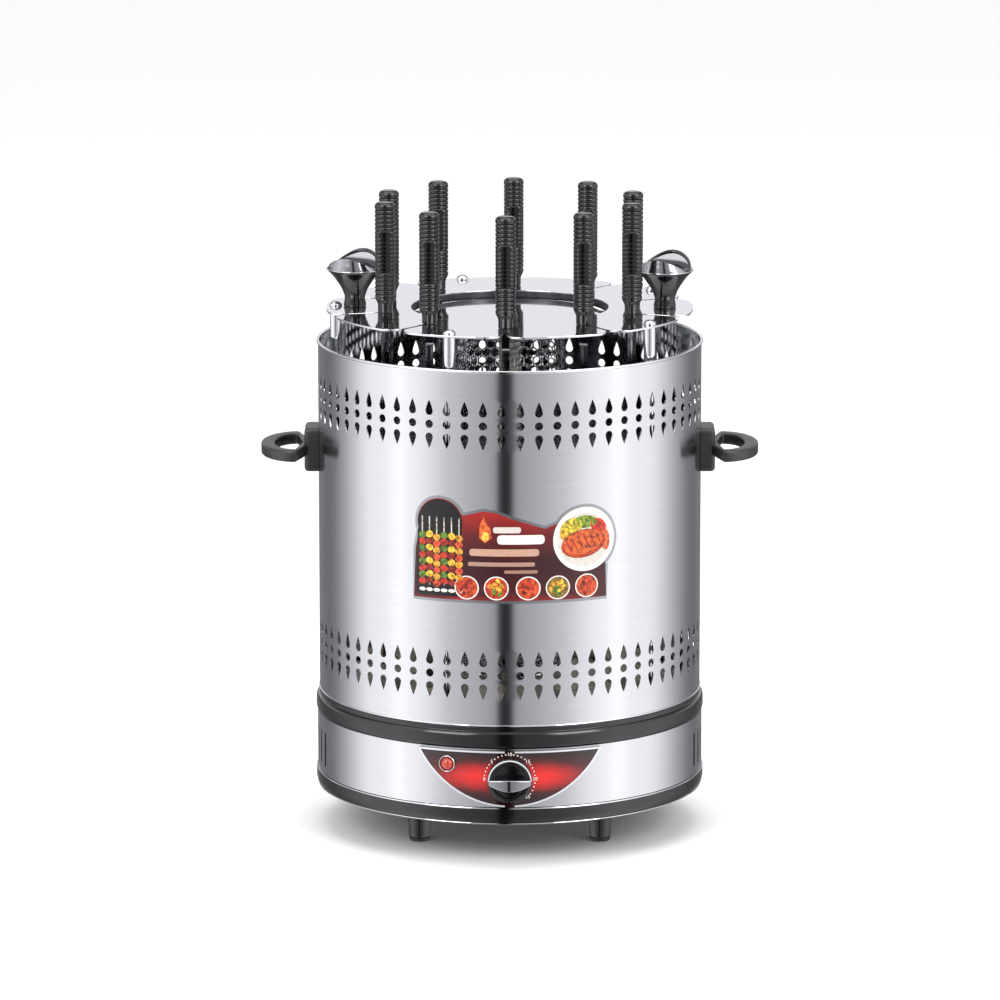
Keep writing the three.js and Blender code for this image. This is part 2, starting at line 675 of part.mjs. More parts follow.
const gripBottom = PLATE_TOP + GAP;
const gripTop = gripBottom + GRIP_H;
const gripGeometry = turned([
  [0, PLATE_Z - SPIGOT_DROP],
  [SPIGOT_R, PLATE_Z - SPIGOT_DROP],
  [SPIGOT_R, gripBottom],
  [NECK_R, gripBottom],
  [NECK_R, gripBottom + 8],
  [GRIP_R, gripBottom + 13],
  [GRIP_R, gripTop - 6.5],
  [GRIP_R - 1.1, gripTop - 3],
  [GRIP_R - 3.6, gripTop - 0.7],
  [0, gripTop],
], FINE);
const bladeOutline = new THREE.Shape([
  v2(-BLADE_W / 2, BLADE_TOP_Z),
  v2(-BLADE_W / 2, BLADE_TIP_Z + BLADE_POINT),
  v2(-BLADE_W / 6, BLADE_TIP_Z),
  v2(BLADE_W / 6, BLADE_TIP_Z),
  v2(BLADE_W / 2, BLADE_TIP_Z + BLADE_POINT),
  v2(BLADE_W / 2, BLADE_TOP_Z),
]);
const bladeGeometry = facingFront(prism(bladeOutline, -BLADE_T / 2, BLADE_T));
skewerAngles.forEach((degrees, i) => {
  const station = subgroup(rack, ...onCircle(SKEWER_CIRCLE, degrees));
  place(station, `drip_cup_${i + 1}`, 'naturalNylon', cupGeometry);
  place(station, `skewer_blade_${i + 1}`, 'polishedSteel', bladeGeometry);
  place(station, `skewer_handle_${i + 1}`, 'glossBlack', gripGeometry);
});

// ---------- Barrel and side handles ----------

place(grill, 'barrel', 'brushedSteel', turned([
  [BARREL_INNER, BARREL_Z],
  [BARREL_R, BARREL_Z],
  [BARREL_R, BARREL_TOP - RIM_BEAD_H],
  [BARREL_R + RIM_BEAD, BARREL_TOP - RIM_BEAD_H + 0.6],
  [BARREL_R + RIM_BEAD, BARREL_TOP - 0.6],
  [BARREL_R + RIM_BEAD - 0.5, BARREL_TOP],
  [BARREL_INNER, BARREL_TOP],
], ROUND));

// Mount block against the barrel, with a flat D-shaped loop for the fingers.
const handleZ = BARREL_Z + HANDLE_Z;
const blockFace = BARREL_R + BLOCK_PROUD;
const armEnd = blockFace + LOOP_ARM;
const loopEnd = BARREL_R + LOOP_REACH;
const loop = new THREE.Shape();
loop.moveTo(blockFace - 1, -BLOCK_W / 2 + 1);
loop.lineTo(armEnd, -LOOP_HALF);
loop.absellipse(armEnd, 0, loopEnd - armEnd, LOOP_HALF, -Math.PI / 2, Math.PI / 2);
loop.lineTo(blockFace - 1, BLOCK_W / 2 - 1);
const fingerHole = new THREE.Path();
const holeHalf = LOOP_HALF - LOOP_BAR - 1;
fingerHole.moveTo(blockFace + 1.5, 0);
fingerHole.lineTo(armEnd + 1, -holeHalf);
fingerHole.absellipse(armEnd + 1, 0, loopEnd - armEnd - 1 - LOOP_BAR, holeHalf, -Math.PI / 2, Math.PI / 2);
loop.holes.push(fingerHole);
const handleGeometry = cut(
  join(
    prism(loop, handleZ - LOOP_T / 2, LOOP_T, 10),
    block([BARREL_R - 8, -BLOCK_W / 2, handleZ - BLOCK_H / 2], [blockFace, BLOCK_W / 2, handleZ + BLOCK_H / 2]),
  ),
  rod(BARREL_R + GAP, handleZ - BLOCK_H, handleZ + BLOCK_H, ROUND),
);
place(subgroup(grill), 'side_handle_right', 'satinBlack', handleGeometry);
place(subgroup(grill, 0, 0, 180), 'side_handle_left', 'satinBlack', handleGeometry);

export default grill;
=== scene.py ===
import math

import bmesh
import bpy
from mathutils import Matrix, Vector


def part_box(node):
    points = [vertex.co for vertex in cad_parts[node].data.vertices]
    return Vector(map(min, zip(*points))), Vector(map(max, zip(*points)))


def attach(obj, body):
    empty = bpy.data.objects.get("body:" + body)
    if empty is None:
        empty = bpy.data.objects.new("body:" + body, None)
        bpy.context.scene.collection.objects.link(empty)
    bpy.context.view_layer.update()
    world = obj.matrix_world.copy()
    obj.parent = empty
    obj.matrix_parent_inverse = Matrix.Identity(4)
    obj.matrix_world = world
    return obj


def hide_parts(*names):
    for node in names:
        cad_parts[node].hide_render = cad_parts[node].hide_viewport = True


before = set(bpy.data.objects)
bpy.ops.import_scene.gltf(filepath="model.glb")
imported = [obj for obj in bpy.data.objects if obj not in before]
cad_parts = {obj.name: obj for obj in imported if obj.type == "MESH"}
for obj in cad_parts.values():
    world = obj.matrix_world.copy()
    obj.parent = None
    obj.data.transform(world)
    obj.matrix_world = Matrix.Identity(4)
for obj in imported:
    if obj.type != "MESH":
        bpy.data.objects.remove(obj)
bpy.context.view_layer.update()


# ---- Camera -------------------------------------------------------------------------------------
# A long lens stands far off and looks slightly down at the front of the grill, so that upright lines
# stay upright.
MM = 0.001
ELEVATION = math.radians(11.3)
CAMERA_DISTANCE = 4.6
AIM = Vector((0, 0, 0.240))
camera_data = bpy.data.cameras.new("camera")
camera_data.sensor_width = 36
camera_data.lens = 225.7
camera_data.shift_x = -0.00975
camera = bpy.data.objects.new("camera", camera_data)
bpy.context.scene.collection.objects.link(camera)
towards_camera = Vector((0, -math.cos(ELEVATION), math.sin(ELEVATION)))
camera.location = AIM + CAMERA_DISTANCE * towards_camera
camera.rotation_euler = towards_camera.to_track_quat("Z", "Y").to_euler()
bpy.context.scene.camera = camera
bpy.context.scene.view_settings.view_transform = "Standard"


# ---- Studio -------------------------------------------------------------------------------------
# A pale floor under soft light. Polished parts mirror two tall bright walls to the left and right of
# the camera, a narrow dark strip between them, a low bright band behind and a bright panel overhead.
def srgb(code):
    """Linear RGBA of an sRGB hex colour."""
    parts = [int(code[i:i + 2], 16) / 255 for i in (1, 3, 5)]
    return tuple(p / 12.92 if p <= 0.04045 else ((p + 0.055) / 1.055) ** 2.4 for p in parts) + (1,)


def add_node(tree, kind, settings=None, values=None, links=None):
    """Adds one node: its own settings, values on its sockets, and links into its sockets."""
    made = tree.nodes.new(kind)
    for name, value in (settings or {}).items():
        setattr(made, name, value)
    for socket, value in (values or {}).items():
        made.inputs[socket].default_value = value
    for socket, source in (links or {}).items():
        tree.links.new(source, made.inputs[socket])
    return made


def colour_stops(ramp, stops, interpolation="LINEAR"):
    """Sets a ramp's stops from (position, hex colour) pairs."""
    ramp.interpolation = interpolation
    while len(ramp.elements) < len(stops):
        ramp.elements.new(1)
    for element, (position, code) in zip(ramp.elements, stops):
        element.position = position
        element.color = srgb(code)


world = bpy.data.worlds.new("studio")
bpy.context.scene.world = world
world.use_nodes = True
air = world.node_tree
air.nodes.clear()
direction = add_node(air, "ShaderNodeTexCoord").outputs["Generated"]
parts = add_node(air, "ShaderNodeSeparateXYZ", links={0: direction})
STRIP_SHIFT = 0.045 # puts the dark strip a little to the left of the camera
shifted = add_node(air, "ShaderNodeMath", {"operation": "ADD"}, values={1: STRIP_SHIFT},
                   links={0: parts.outputs["X"]})
side_angle = add_node(air, "ShaderNodeMath", {"operation": "ARCTAN2"},
                      links={0: shifted.outputs[0], 1: parts.outputs["Y"]})
from_back = add_node(air, "ShaderNodeMath", {"operation": "ABSOLUTE"}, links={0: side_angle.outputs[0]})
around = add_node(air, "ShaderNodeMapRange", values={"From Max": math.pi},
                  links={0: from_back.outputs[0]})
walls = add_node(air, "ShaderNodeValToRGB", links={0: around.outputs[0]})
colour_stops(walls.color_ramp, [
    (0.00, "#606062"), (0.15, "#5e5e60"), (0.20, "#5a5a5c"), (0.265, "#68686a"), (0.345, "#929295"),
    (0.42, "#bcbcbf"), (0.475, "#d4d4d6"), (0.55, "#dadadc"), (0.68, "#dadadc"), (0.74, "#c9c9cc"),
    (0.80, "#aeaeb1"), (0.88, "#9b9b9e"), (0.968, "#8a8a8d"), (0.980, "#050506"), (1.00, "#030304"),
])
height = add_node(air, "ShaderNodeMapRange", values={"From Min": -1.0, "From Max": 1.0},
                  links={0: parts.outputs["Z"]})
band = add_node(air, "ShaderNodeValToRGB", links={0: height.outputs[0]})
colour_stops(band.color_ramp, [
    (0.00, "#000000"), (0.520, "#000000"), (0.545, "#b2b2b5"), (0.64, "#b6b6b9"), (0.72, "#3c3c3e"),
    (0.80, "#28282a"), (1.00, "#4c4c4e"),
])
behind = add_node(air, "ShaderNodeMapRange", values={"From Min": 0.45, "From Max": 0.33},
                  links={0: around.outputs[0]})
seen = add_node(air, "ShaderNodeMix", {"data_type": "RGBA", "blend_type": "LIGHTEN"},
                links={"Factor": behind.outputs[0], "A": walls.outputs[0], "B": band.outputs[0]})
window = add_node(air, "ShaderNodeValToRGB", links={0: around.outputs[0]})
colour_stops(window.color_ramp, [(0.565, "#000000"), (0.60, "#ffffff"), (0.63, "#ffffff"),
                                 (0.665, "#000000")])
WALL_LIGHT, WINDOW_LIGHT = 2.1, 0.3
brightness = add_node(air, "ShaderNodeMath", {"operation": "MULTIPLY_ADD"},
                      values={1: WINDOW_LIGHT, 2: WALL_LIGHT}, links={0: window.outputs[0]})
overhead = add_node(air, "ShaderNodeValToRGB", links={0: height.outputs[0]})
colour_stops(overhead.color_ramp, [(0.86, "#000000"), (0.92, "#ffffff")])
all_round = add_node(air, "ShaderNodeMix", {"data_type": "RGBA", "blend_type": "LIGHTEN"},
                     values={"Factor": 1.0},
                     links={"A": seen.outputs["Result"], "B": overhead.outputs[0]})
mirrored = add_node(air, "ShaderNodeBackground",
                    links={"Color": all_round.outputs["Result"], "Strength": brightness.outputs[0]})
plain = add_node(air, "ShaderNodeBackground", values={"Color": srgb("#ffffff")})
rays = add_node(air, "ShaderNodeLightPath")
shown = add_node(air, "ShaderNodeMixShader",
                 links={0: rays.outputs["Is Glossy Ray"], 1: plain.outputs[0], 2: mirrored.outputs[0]})
add_node(air, "ShaderNodeOutputWorld", links={"Surface": shown.outputs[0]})

# Two broad key lights from the front sides, and one from above that polished parts don't mirror.
for name, place, size, power in (
    ("key_left", (-1.5, -1.9, 1.7), 1.3, 26),
    ("key_right", (1.6, -1.8, 1.6), 1.3, 26),
    ("top", (0, 0.3, 2.4), 1.6, 24),
):
    lamp_data = bpy.data.lights.new(name, "AREA")
    lamp_data.size = size
    lamp_data.energy = power
    lamp = bpy.data.objects.new(name, lamp_data)
    bpy.context.scene.collection.objects.link(lamp)
    lamp.location = place
    lamp.rotation_euler = (Vector(place) - AIM).to_track_quat("Z", "Y").to_euler()
    lamp.visible_glossy = name != "top"

floor_mesh = bmesh.new()
bmesh.ops.create_grid(floor_mesh, x_segments=4, y_segments=4, size=30)
floor_data = bpy.data.meshes.new("floor")
floor_mesh.to_mesh(floor_data)
floor_mesh.free()
floor = bpy.data.objects.new("floor", floor_data)
bpy.context.scene.collection.objects.link(floor)
floor.visible_glossy = False
# A dead matt white that takes only soft shadows.
paint = bpy.data.materials.new("matt_white_backdrop_paint")
paint.use_nodes = True
paint_shader = paint.node_tree.nodes["Principled BSDF"]
paint_shader.inputs["Base Color"].default_value = srgb("#f6f6f6")
paint_shader.inputs["Roughness"].default_value = 0.9
floor_data.materials.append(paint)


# ---- Barrel -------------------------------------------------------------------------------------
# Stainless sheet, rolled and seam-welded, brushed around its axis. Two bands of punched drops and
# round holes let air through, and the upper edge is rolled over into a bead.
def new_material(name, colour, **values):
    """Material with a named surface: colour as sRGB hex, the other values on the shader's sockets."""
    made = bpy.data.materials.new(name)
    made.use_nodes = True
    shader = made.node_tree.nodes["Principled BSDF"]
    shader.inputs["Base Color"].default_value = srgb(colour)
    for socket, value in values.items():
        shader.inputs[socket.replace("_", " ")].default_value = value
    return made, made.node_tree, shader


def cloudy(tree, shader, scale, detail=2.0, roughness=None, tones=None, relief=None):
    """Varies a surface by soft noise, its scale in lumps per metre: roughness from and to, tones as a
    ramp's stops, relief as strength and depth. Returns the tone."""
    spot = add_node(tree, "ShaderNodeTexCoord").outputs["Object"]
    noise = add_node(tree, "ShaderNodeTexNoise", values={"Scale": scale, "Detail": detail},
                     links={"Vector": spot}).outputs[0]
    if roughness:
        rough = add_node(tree, "ShaderNodeMapRange",
                         values={"To Min": roughness[0], "To Max": roughness[1]}, links={0: noise})
        tree.links.new(rough.outputs[0], shader.inputs["Roughness"])
    if relief:
        bump = add_node(tree, "ShaderNodeBump", values={"Strength": relief[0], "Distance": relief[1]},
                        links={"Height": noise})
        tree.links.new(bump.outputs[0], shader.inputs["Normal"])
    if tones:
        tone = add_node(tree, "ShaderNodeValToRGB", links={0: noise})
        colour_stops(tone.color_ramp, tones)
        tree.links.new(tone.outputs[0], shader.inputs["Base Color"])
        return tone.outputs[0]


def add_piece(name, form, material, body, replaced=(), sharp=35):
    """Turns a bmesh into an object that rides on a body, with edges over the sharp angle kept crisp."""
    data = bpy.data.meshes.new(name)
    form.to_mesh(data)
    form.free()
    data.polygons.foreach_set("use_smooth", [True] * len(data.polygons))
    data.set_sharp_from_angle(angle=math.radians(sharp))
    data.materials.append(material)
    piece = bpy.data.objects.new(name, data)
    bpy.context.scene.collection.objects.link(piece)
    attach(piece, body)
    if replaced:
        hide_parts(*replaced)
    return piece


def outward(form):
    """Points every face of a form outwards."""
    bmesh.ops.recalc_face_normals(form, faces=form.faces)


def move_form(form, way):
    """Moves a whole form by x, y and z."""
    bmesh.ops.translate(form, verts=form.verts, vec=way)


def spin_profile(profile, steps=96, closed=False, centre=(0, 0)):
    """Solid of revolution about a vertical axis from (radius, height) points."""
    form = bmesh.new()
    line = [form.verts.new((r, 0, z)) for r, z in profile]
    ends = zip(line, line[1:] + line[:1]) if closed else zip(line, line[1:])
    edges = [form.edges.new(pair) for pair in ends]
    bmesh.ops.spin(form, geom=line + edges, cent=(0, 0, 0), axis=(0, 0, 1), angle=2 * math.pi,
                   steps=steps, use_merge=True)
    bmesh.ops.remove_doubles(form, verts=form.verts, dist=1e-7)
    outward(form)
    move_form(form, (*centre, 0))
    return form


def wire_section(reach, z, half_w, half_h, steps):
    """Oval section of a ring that runs about the vertical axis."""
    turns = [2 * math.pi * k / steps for k in range(steps)]
    return [(reach + half_w * math.cos(t), z + half_h * math.sin(t)) for t in turns]


def rounded(points, radius, closed=False, steps=3):
    """Outline with each corner replaced by a short curve; the ends of an open one stay."""
    smooth = []
    count = len(points)
    for i, point in enumerate(points):
        here = Vector(point)
        if not closed and i in (0, count - 1):
            smooth.append(tuple(here))
            continue
        before, after = Vector(points[i - 1]) - here, Vector(points[(i + 1) % count]) - here
        reach = min(radius, before.length * 0.45, after.length * 0.45)
        start, end = here + before.normalized() * reach, here + after.normalized() * reach
        for k in range(steps + 1):
            t = k / steps
            smooth.append(tuple((1 - t) ** 2 * start + 2 * t * (1 - t) * here + t ** 2 * end))
    return smooth


def wrap(form, radius):
    """Bends a flat form, X across and Z up, around the vertical axis with its middle at the front."""
    for v in form.verts:
        turn = v.co.x / radius
        reach = radius - v.co.y
        v.co.x, v.co.y = reach * math.sin(turn), -reach * math.cos(turn)


brushed_steel, tree, shader = new_material("stainless_steel_brushed", "#c9cacd", Metallic=1.0,
                                           Anisotropic=0.8, Anisotropic_Rotation=0.25)
# Brushing runs around the axis: streaks about 70 mm long and 0.4 mm high, coarser than the real
# 0.1 mm lines so that they show.
spot = add_node(tree, "ShaderNodeTexCoord").outputs["Object"]
streak_scale = add_node(tree, "ShaderNodeMapping", values={"Scale": (14, 14, 2400)}, links={0: spot})
streaks = add_node(tree, "ShaderNodeTexNoise", values={"Scale": 1.0, "Detail": 5.0, "Roughness": 0.62},
                   links={"Vector": streak_scale.outputs[0]})
streak_rough = add_node(tree, "ShaderNodeMapRange",
                        values={"From Min": 0.3, "From Max": 0.7, "To Min": 0.16, "To Max": 0.20},
                        links={0: streaks.outputs[0]})
tree.links.new(streak_rough.outputs[0], shader.inputs["Roughness"])
streak_tone = add_node(tree, "ShaderNodeValToRGB", links={0: streaks.outputs[0]})
colour_stops(streak_tone.color_ramp, [(0.32, "#c6c7ca"), (0.5, "#c9cacd"), (0.68, "#cccdd0")])
tree.links.new(streak_tone.outputs[0], shader.inputs["Base Color"])
streak_bump = add_node(tree, "ShaderNodeBump", values={"Strength": 0.03, "Distance": 0.00004},
                       links={"Height": streaks.outputs[0]})
tree.links.new(streak_bump.outputs[0], shader.inputs["Normal"])

barrel_low, barrel_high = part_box("barrel")
BEAD_PROUD = 1.0 * MM
BARREL_R = barrel_high.x - BEAD_PROUD
SHEET = 0.9 * MM
COLUMNS = 66
PATTERN_SHIFT = 0.86 * MM
pitch = 2 * math.pi * BARREL_R / COLUMNS
BAND_HEIGHTS = (139.4 * MM, 320.8 * MM)
HOLE_R = 3.0 * MM
DROP_R = 2.9 * MM
DROP_LENGTH = 11.3 * MM
DROP_OFFSET = 12.0 * MM
SPLIT = 4.6 * MM # between the round hole's cell and a drop's cell
REACH = 19.4 * MM # from the round hole's centre to the end of a drop's cell
RING = 16


def hole_point(step, drop):
    """Point of a punched hole's edge: a circle, or a drop that points up (1) or down (-1)."""
    turn = 2 * math.pi * step / RING
    if not drop:
        return HOLE_R * math.cos(turn), HOLE_R * math.sin(turn)
    base = DROP_R - DROP_LENGTH / 2
    if drop < 0:
        across, up = hole_point((RING - step) % RING, 1)
        return across, -up
    if step >= RING // 2 or step == 0:
        return DROP_R * math.cos(turn), base + DROP_R * math.sin(turn)
    along = 1 - abs(step - RING // 4) / (RING // 4)
    across = DROP_R * (1 - along ** 1.4) * (1 if step < RING // 4 else -1)
    return across, base + (DROP_LENGTH - DROP_R) * along


def frame_point(step, half_w, half_h):
    """Matching point on the rectangle around a hole, with a corner at every fourth step from 2."""
    side, k = divmod((step + 2) % RING, 4)
    t = k / 2 - 1
    return ((half_w, t * half_h), (-t * half_w, half_h), (-half_w, -t * half_h),
            (t * half_w, -half_h))[side]


wall = bmesh.new()
for band_z in BAND_HEIGHTS:
    cells = ((0, SPLIT, 0), ((SPLIT + REACH) / 2, (REACH - SPLIT) / 2, 1),
             (-(SPLIT + REACH) / 2, (REACH - SPLIT) / 2, -1))
    for rise, half_h, drop in cells:
        loops = []
        for which in ("hole", "frame"):
            corners = []
            for step in range(RING):
                if which == "hole":
                    across, up = hole_point(step, drop)
                    up += drop * (DROP_OFFSET - abs(rise))
                else:
                    across, up = frame_point(step, pitch / 2, half_h)
                corners.append(wall.verts.new((across, 0, band_z + rise + up)))
            loops += [wall.edges.new((a, b)) for a, b in zip(corners, corners[1:] + corners[:1])]
        bmesh.ops.bridge_loops(wall, edges=loops)
bmesh.ops.remove_doubles(wall, verts=wall.verts, dist=1e-6)
for start, end in ((BAND_HEIGHTS[0] - REACH, barrel_low.z),
                   (BAND_HEIGHTS[0] + REACH, BAND_HEIGHTS[1] - REACH),
                   (BAND_HEIGHTS[1] + REACH, barrel_high.z - BEAD_PROUD)):
    edge_row = [e for e in wall.edges if all(abs(v.co.z - start) < 1e-6 for v in e.verts)]
    grown = bmesh.ops.extrude_edge_only(wall, edges=edge_row)["geom"]
    bmesh.ops.translate(wall, verts=[g for g in grown if isinstance(g, bmesh.types.BMVert)],
                        vec=(0, 0, end - start))
bmesh.ops.remove_doubles(wall, verts=wall.verts, dist=1e-6)
move_form(wall, (pitch / 2 + PATTERN_SHIFT, 0, 0))
wrap(wall, BARREL_R)
bmesh.ops.spin(wall, geom=wall.verts[:] + wall.edges[:] + wall.faces[:], cent=(0, 0, 0), axis=(0, 0, 1),
               angle=2 * math.pi * (COLUMNS - 1) / COLUMNS, steps=COLUMNS - 1, use_duplicate=True)
bmesh.ops.remove_doubles(wall, verts=wall.verts, dist=1e-6)
outward(wall)
if sum(f.normal.x * f.calc_center_median().x + f.normal.y * f.calc_center_median().y
       for f in wall.faces) < 0:
    bmesh.ops.reverse_faces(wall, faces=wall.faces)
bmesh.ops.solidify(wall, geom=wall.faces[:], thickness=SHEET)
for face in wall.faces:
    centre = face.calc_center_median()
    facing = face.normal.x * centre.x + face.normal.y * centre.y
    face.material_index = int(facing < -0.7 * BARREL_R) # 1 on the side that faces in
barrel_wall = add_piece("barrel_wall", wall, brushed_steel, "shell", ["barrel"],
                        sharp=40)

polished_steel, tree, shader = new_material("stainless_steel_mirror_polished", "#d9dadd", Metallic=1.0)
# A buffed mirror: faint swirl haze a few millimetres across, hardly any relief.
cloudy(tree, shader, 180.0, 3.0, roughness=(0.03, 0.09))
barrel_wall.data.materials.append(polished_steel) # the sheet's inner side is bright annealed

BEAD_R = 1.1 * MM
BEAD_EMBED = 0.1 * MM
bead = wire_section(BARREL_R - BEAD_EMBED, barrel_high.z - BEAD_R, BEAD_R, BEAD_R, 12)
add_piece("barrel_rolled_rim", spin_profile(bead, 192, closed=True), polished_steel, "shell")
HEM_R = 0.55 * MM
hem = wire_section(BARREL_R, barrel_low.z + 0.6 * MM, HEM_R, HEM_R, 10)
add_piece("barrel_lower_hem", spin_profile(hem, 192, closed=True), polished_steel, "shell")


# ---- Side handles -------------------------------------------------------------------------------
# Black phenolic mouldings with a satin skin: a mount block screwed to the barrel from inside, and a
# flat D-shaped loop whose arms slant in to the block.
satin_black, tree, shader = new_material("phenolic_moulded_satin", "#1b1b1e", IOR=1.6)
# Fine spark-eroded grain, 0.7 mm across.
cloudy(tree, shader, 1400.0, roughness=(0.30, 0.44), relief=(0.25, 0.00006))


def turn_form(form, turn, axis="Z"):
    """Turns a whole form about one of the frame's axes."""
    bmesh.ops.rotate(form, verts=form.verts, cent=(0, 0, 0), matrix=Matrix.Rotation(turn, 3, axis))


def bevel_sharp(form, width, segments, angle=30):
    """Rounds every edge that turns by more than the angle."""
    turning = [e for e in form.edges
               if len(e.link_faces) == 2 and e.calc_face_angle(0) > math.radians(angle)]
    bmesh.ops.bevel(form, geom=turning, offset=width, segments=segments, affect="EDGES", profile=0.5,
                    material=-1, clamp_overlap=True)


def thicken(form, height, edge_bevel):
    """Grows a flat face upwards into a plate and breaks its edges."""
    grown = bmesh.ops.extrude_face_region(form, geom=form.faces[:])["geom"]
    bmesh.ops.translate(form, verts=[g for g in grown if isinstance(g, bmesh.types.BMVert)],
                        vec=(0, 0, height))
    outward(form)
    if edge_bevel:
        rims = [e for e in form.edges if len(e.link_faces) == 2 and e.calc_face_angle(0) > 1.2]
        bmesh.ops.bevel(form, geom=rims, offset=edge_bevel, segments=2, affect="EDGES", profile=0.5,
                        material=-1, clamp_overlap=True)


LOOP_T = 8 * MM
LOOP_BAR = 10 * MM
LOOP_ARM = 5.5 * MM
BLOCK_PROUD = 10 * MM
BOW_STEPS = 22
for side, turn in (("right", 0), ("left", math.pi)):
    low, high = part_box("side_handle_" + side)
    reach = max(abs(low.x), abs(high.x))
    half = high.y
    mid_z = (low.z + high.z) / 2
    block_face = BARREL_R + BLOCK_PROUD
    block_half = (high.z - low.z) / 2
    arm_end = block_face + LOOP_ARM
    loop = bmesh.new()
    rings = []
    for inset, near in ((0, block_face - 2 * MM), (LOOP_BAR, block_face + 1.5 * MM)):
        corners = []
        bow_half = half - inset * 1.1
        root_half = block_half - 1 * MM if not inset else 0.5 * MM
        centre_x = arm_end + (1 * MM if inset else 0)
        for k in range(BOW_STEPS + 1):
            t = math.pi * (k / BOW_STEPS - 0.5)
            corners.append((centre_x + (reach - inset - centre_x) * math.cos(t), bow_half * math.sin(t)))
        corners += [(near, root_half), (near, -root_half)]
        verts = [loop.verts.new((x, y, mid_z - LOOP_T / 2)) for x, y in corners]
        rings += [loop.edges.new((a, b)) for a, b in zip(verts, verts[1:] + verts[:1])]
    bmesh.ops.bridge_loops(loop, edges=rings)
    thicken(loop, LOOP_T, 0)
    bevel_sharp(loop, 1.1 * MM, 3, 50)
    turn_form(loop, turn)
    add_piece("side_handle_loop_" + side, loop, satin_black, "shell",
              ["side_handle_" + side])

    mount = bmesh.new()
    bmesh.ops.create_cube(mount, size=1)
    bmesh.ops.scale(mount, verts=mount.verts, vec=(BLOCK_PROUD + 6 * MM, 2 * block_half, 2 * block_half))
    move_form(mount, (block_face - (BLOCK_PROUD + 6 * MM) / 2, 0, mid_z))
    bevel_sharp(mount, 3.0 * MM, 4)
    across = [e for e in mount.edges if abs(e.verts[0].co.y - e.verts[1].co.y) > 10 * MM]
    bmesh.ops.subdivide_edges(mount, edges=across, cuts=8, use_grid_fill=True)
    for v in mount.verts:
        surface = math.sqrt((BARREL_R + 0.2 * MM) ** 2 - v.co.y ** 2)
        v.co.x = max(v.co.x, surface)
    bmesh.ops.remove_doubles(mount, verts=mount.verts, dist=1e-6)
    outward(mount)
    turn_form(mount, turn)
    add_piece("side_handle_mount_" + side, mount, satin_black, "shell")

    for rise in (-9 * MM, 9 * MM):
        head = spin_profile([(0, 0), (3.4 * MM, 0), (3.2 * MM, 1.1 * MM), (2.2 * MM, 1.9 * MM),
                             (0, 2.2 * MM)], 20)
        turn_form(head, -math.pi / 2, "Y")
        move_form(head, (BARREL_R - SHEET - 0.1 * MM, 0, mid_z + rise))
        turn_form(head, turn)
        add_piece(f"side_handle_screw_{side}_{'upper' if rise > 0 else 'lower'}", head, polished_steel,
                  "shell")


# ---- Top plate ----------------------------------------------------------------------------------
# Laser-cut stainless plate, polished to a mirror. Ten petals part at narrow slots that let a blade
# slide in to its round seat, and the central hole has a turned-down collar.
def middle(name):
    """X and Y of the middle of a node's box."""
    low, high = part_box(name)
    return ((low.x + high.x) / 2, (low.y + high.y) / 2)


SKEWERS = 10
plate_low, plate_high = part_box("top_plate")
seats = [middle(f"skewer_handle_{i}") for i in range(1, SKEWERS + 1)]
PLATE_R = 133.7 * MM
PLATE_UNDER = plate_high.z - 1.5 * MM
SEAT_CIRCLE = math.hypot(*seats[0])
SEAT_R = 4.3 * MM
SLOT_HALF = 1.5 * MM
CORNER = 12 * MM
PLATE_HOLE_R = 72 * MM
POST_HOLE_R = 3.3 * MM


def arc(centre, radius, start, end, steps):
    """Points along a circular arc, both ends included."""
    return [(centre[0] + radius * math.cos(start + (end - start) * k / steps),
             centre[1] + radius * math.sin(start + (end - start) * k / steps)) for k in range(steps + 1)]


def polar(radius, turn):
    """X and Y at a radius and an angle."""
    return (radius * math.cos(turn), radius * math.sin(turn))


def flat_form(outlines, z):
    """Flat face with holes at one height: the first outline is its edge, the others are holes."""
    form = bmesh.new()
    edges = []
    for outline in outlines:
        verts = [form.verts.new((x, y, z)) for x, y in outline]
        edges += [form.edges.new(pair) for pair in zip(verts, verts[1:] + verts[:1])]
    bmesh.ops.triangle_fill(form, use_beauty=True, edges=edges, normal=(0, 0, 1))
    return form


corner_circle = PLATE_R - CORNER
corner_turn = math.asin((SLOT_HALF + CORNER) / corner_circle)
mouth_turn = math.asin(SLOT_HALF / SEAT_R)
petal_outline = []
for seat in seats:
    turn = math.atan2(seat[1], seat[0])
    petal_outline += arc(polar(corner_circle, turn - corner_turn), CORNER, turn - corner_turn,
                         turn + math.pi / 2, 9)
    petal_outline += arc(seat, SEAT_R, turn - mouth_turn, turn - 2 * math.pi + mouth_turn, 22)
    petal_outline += arc(polar(corner_circle, turn + corner_turn), CORNER, turn - math.pi / 2,
                         turn + corner_turn, 9)
    petal_outline += arc((0, 0), PLATE_R, turn + corner_turn, turn + 2 * math.pi / SKEWERS - corner_turn,
                         10)[1:-1]
post_places = [middle(f"rack_post_{i}") for i in range(1, 6)]
outlines = [petal_outline, arc((0, 0), PLATE_HOLE_R, 0, 2 * math.pi, 144)[:-1]]
outlines += [arc(place, POST_HOLE_R, 0, 2 * math.pi, 20)[:-1] for place in post_places]
plate = flat_form(outlines, PLATE_UNDER)
thicken(plate, plate_high.z - PLATE_UNDER, 0.3 * MM)
add_piece("petal_plate", plate, polished_steel, "rack", ["top_plate"], sharp=12)
COLLAR_R = PLATE_HOLE_R - 0.6 * MM
COLLAR_SHEET = 0.8 * MM
collar = rounded([(PLATE_HOLE_R + 1.5 * MM, plate_high.z - 0.4 * MM), (COLLAR_R, plate_high.z - 0.1 * MM),
                  (COLLAR_R, plate_low.z + 0.3 * MM)], 1.2 * MM, steps=4)
collar += [(r + COLLAR_SHEET, z - 0.2 * MM) for r, z in reversed(collar)]
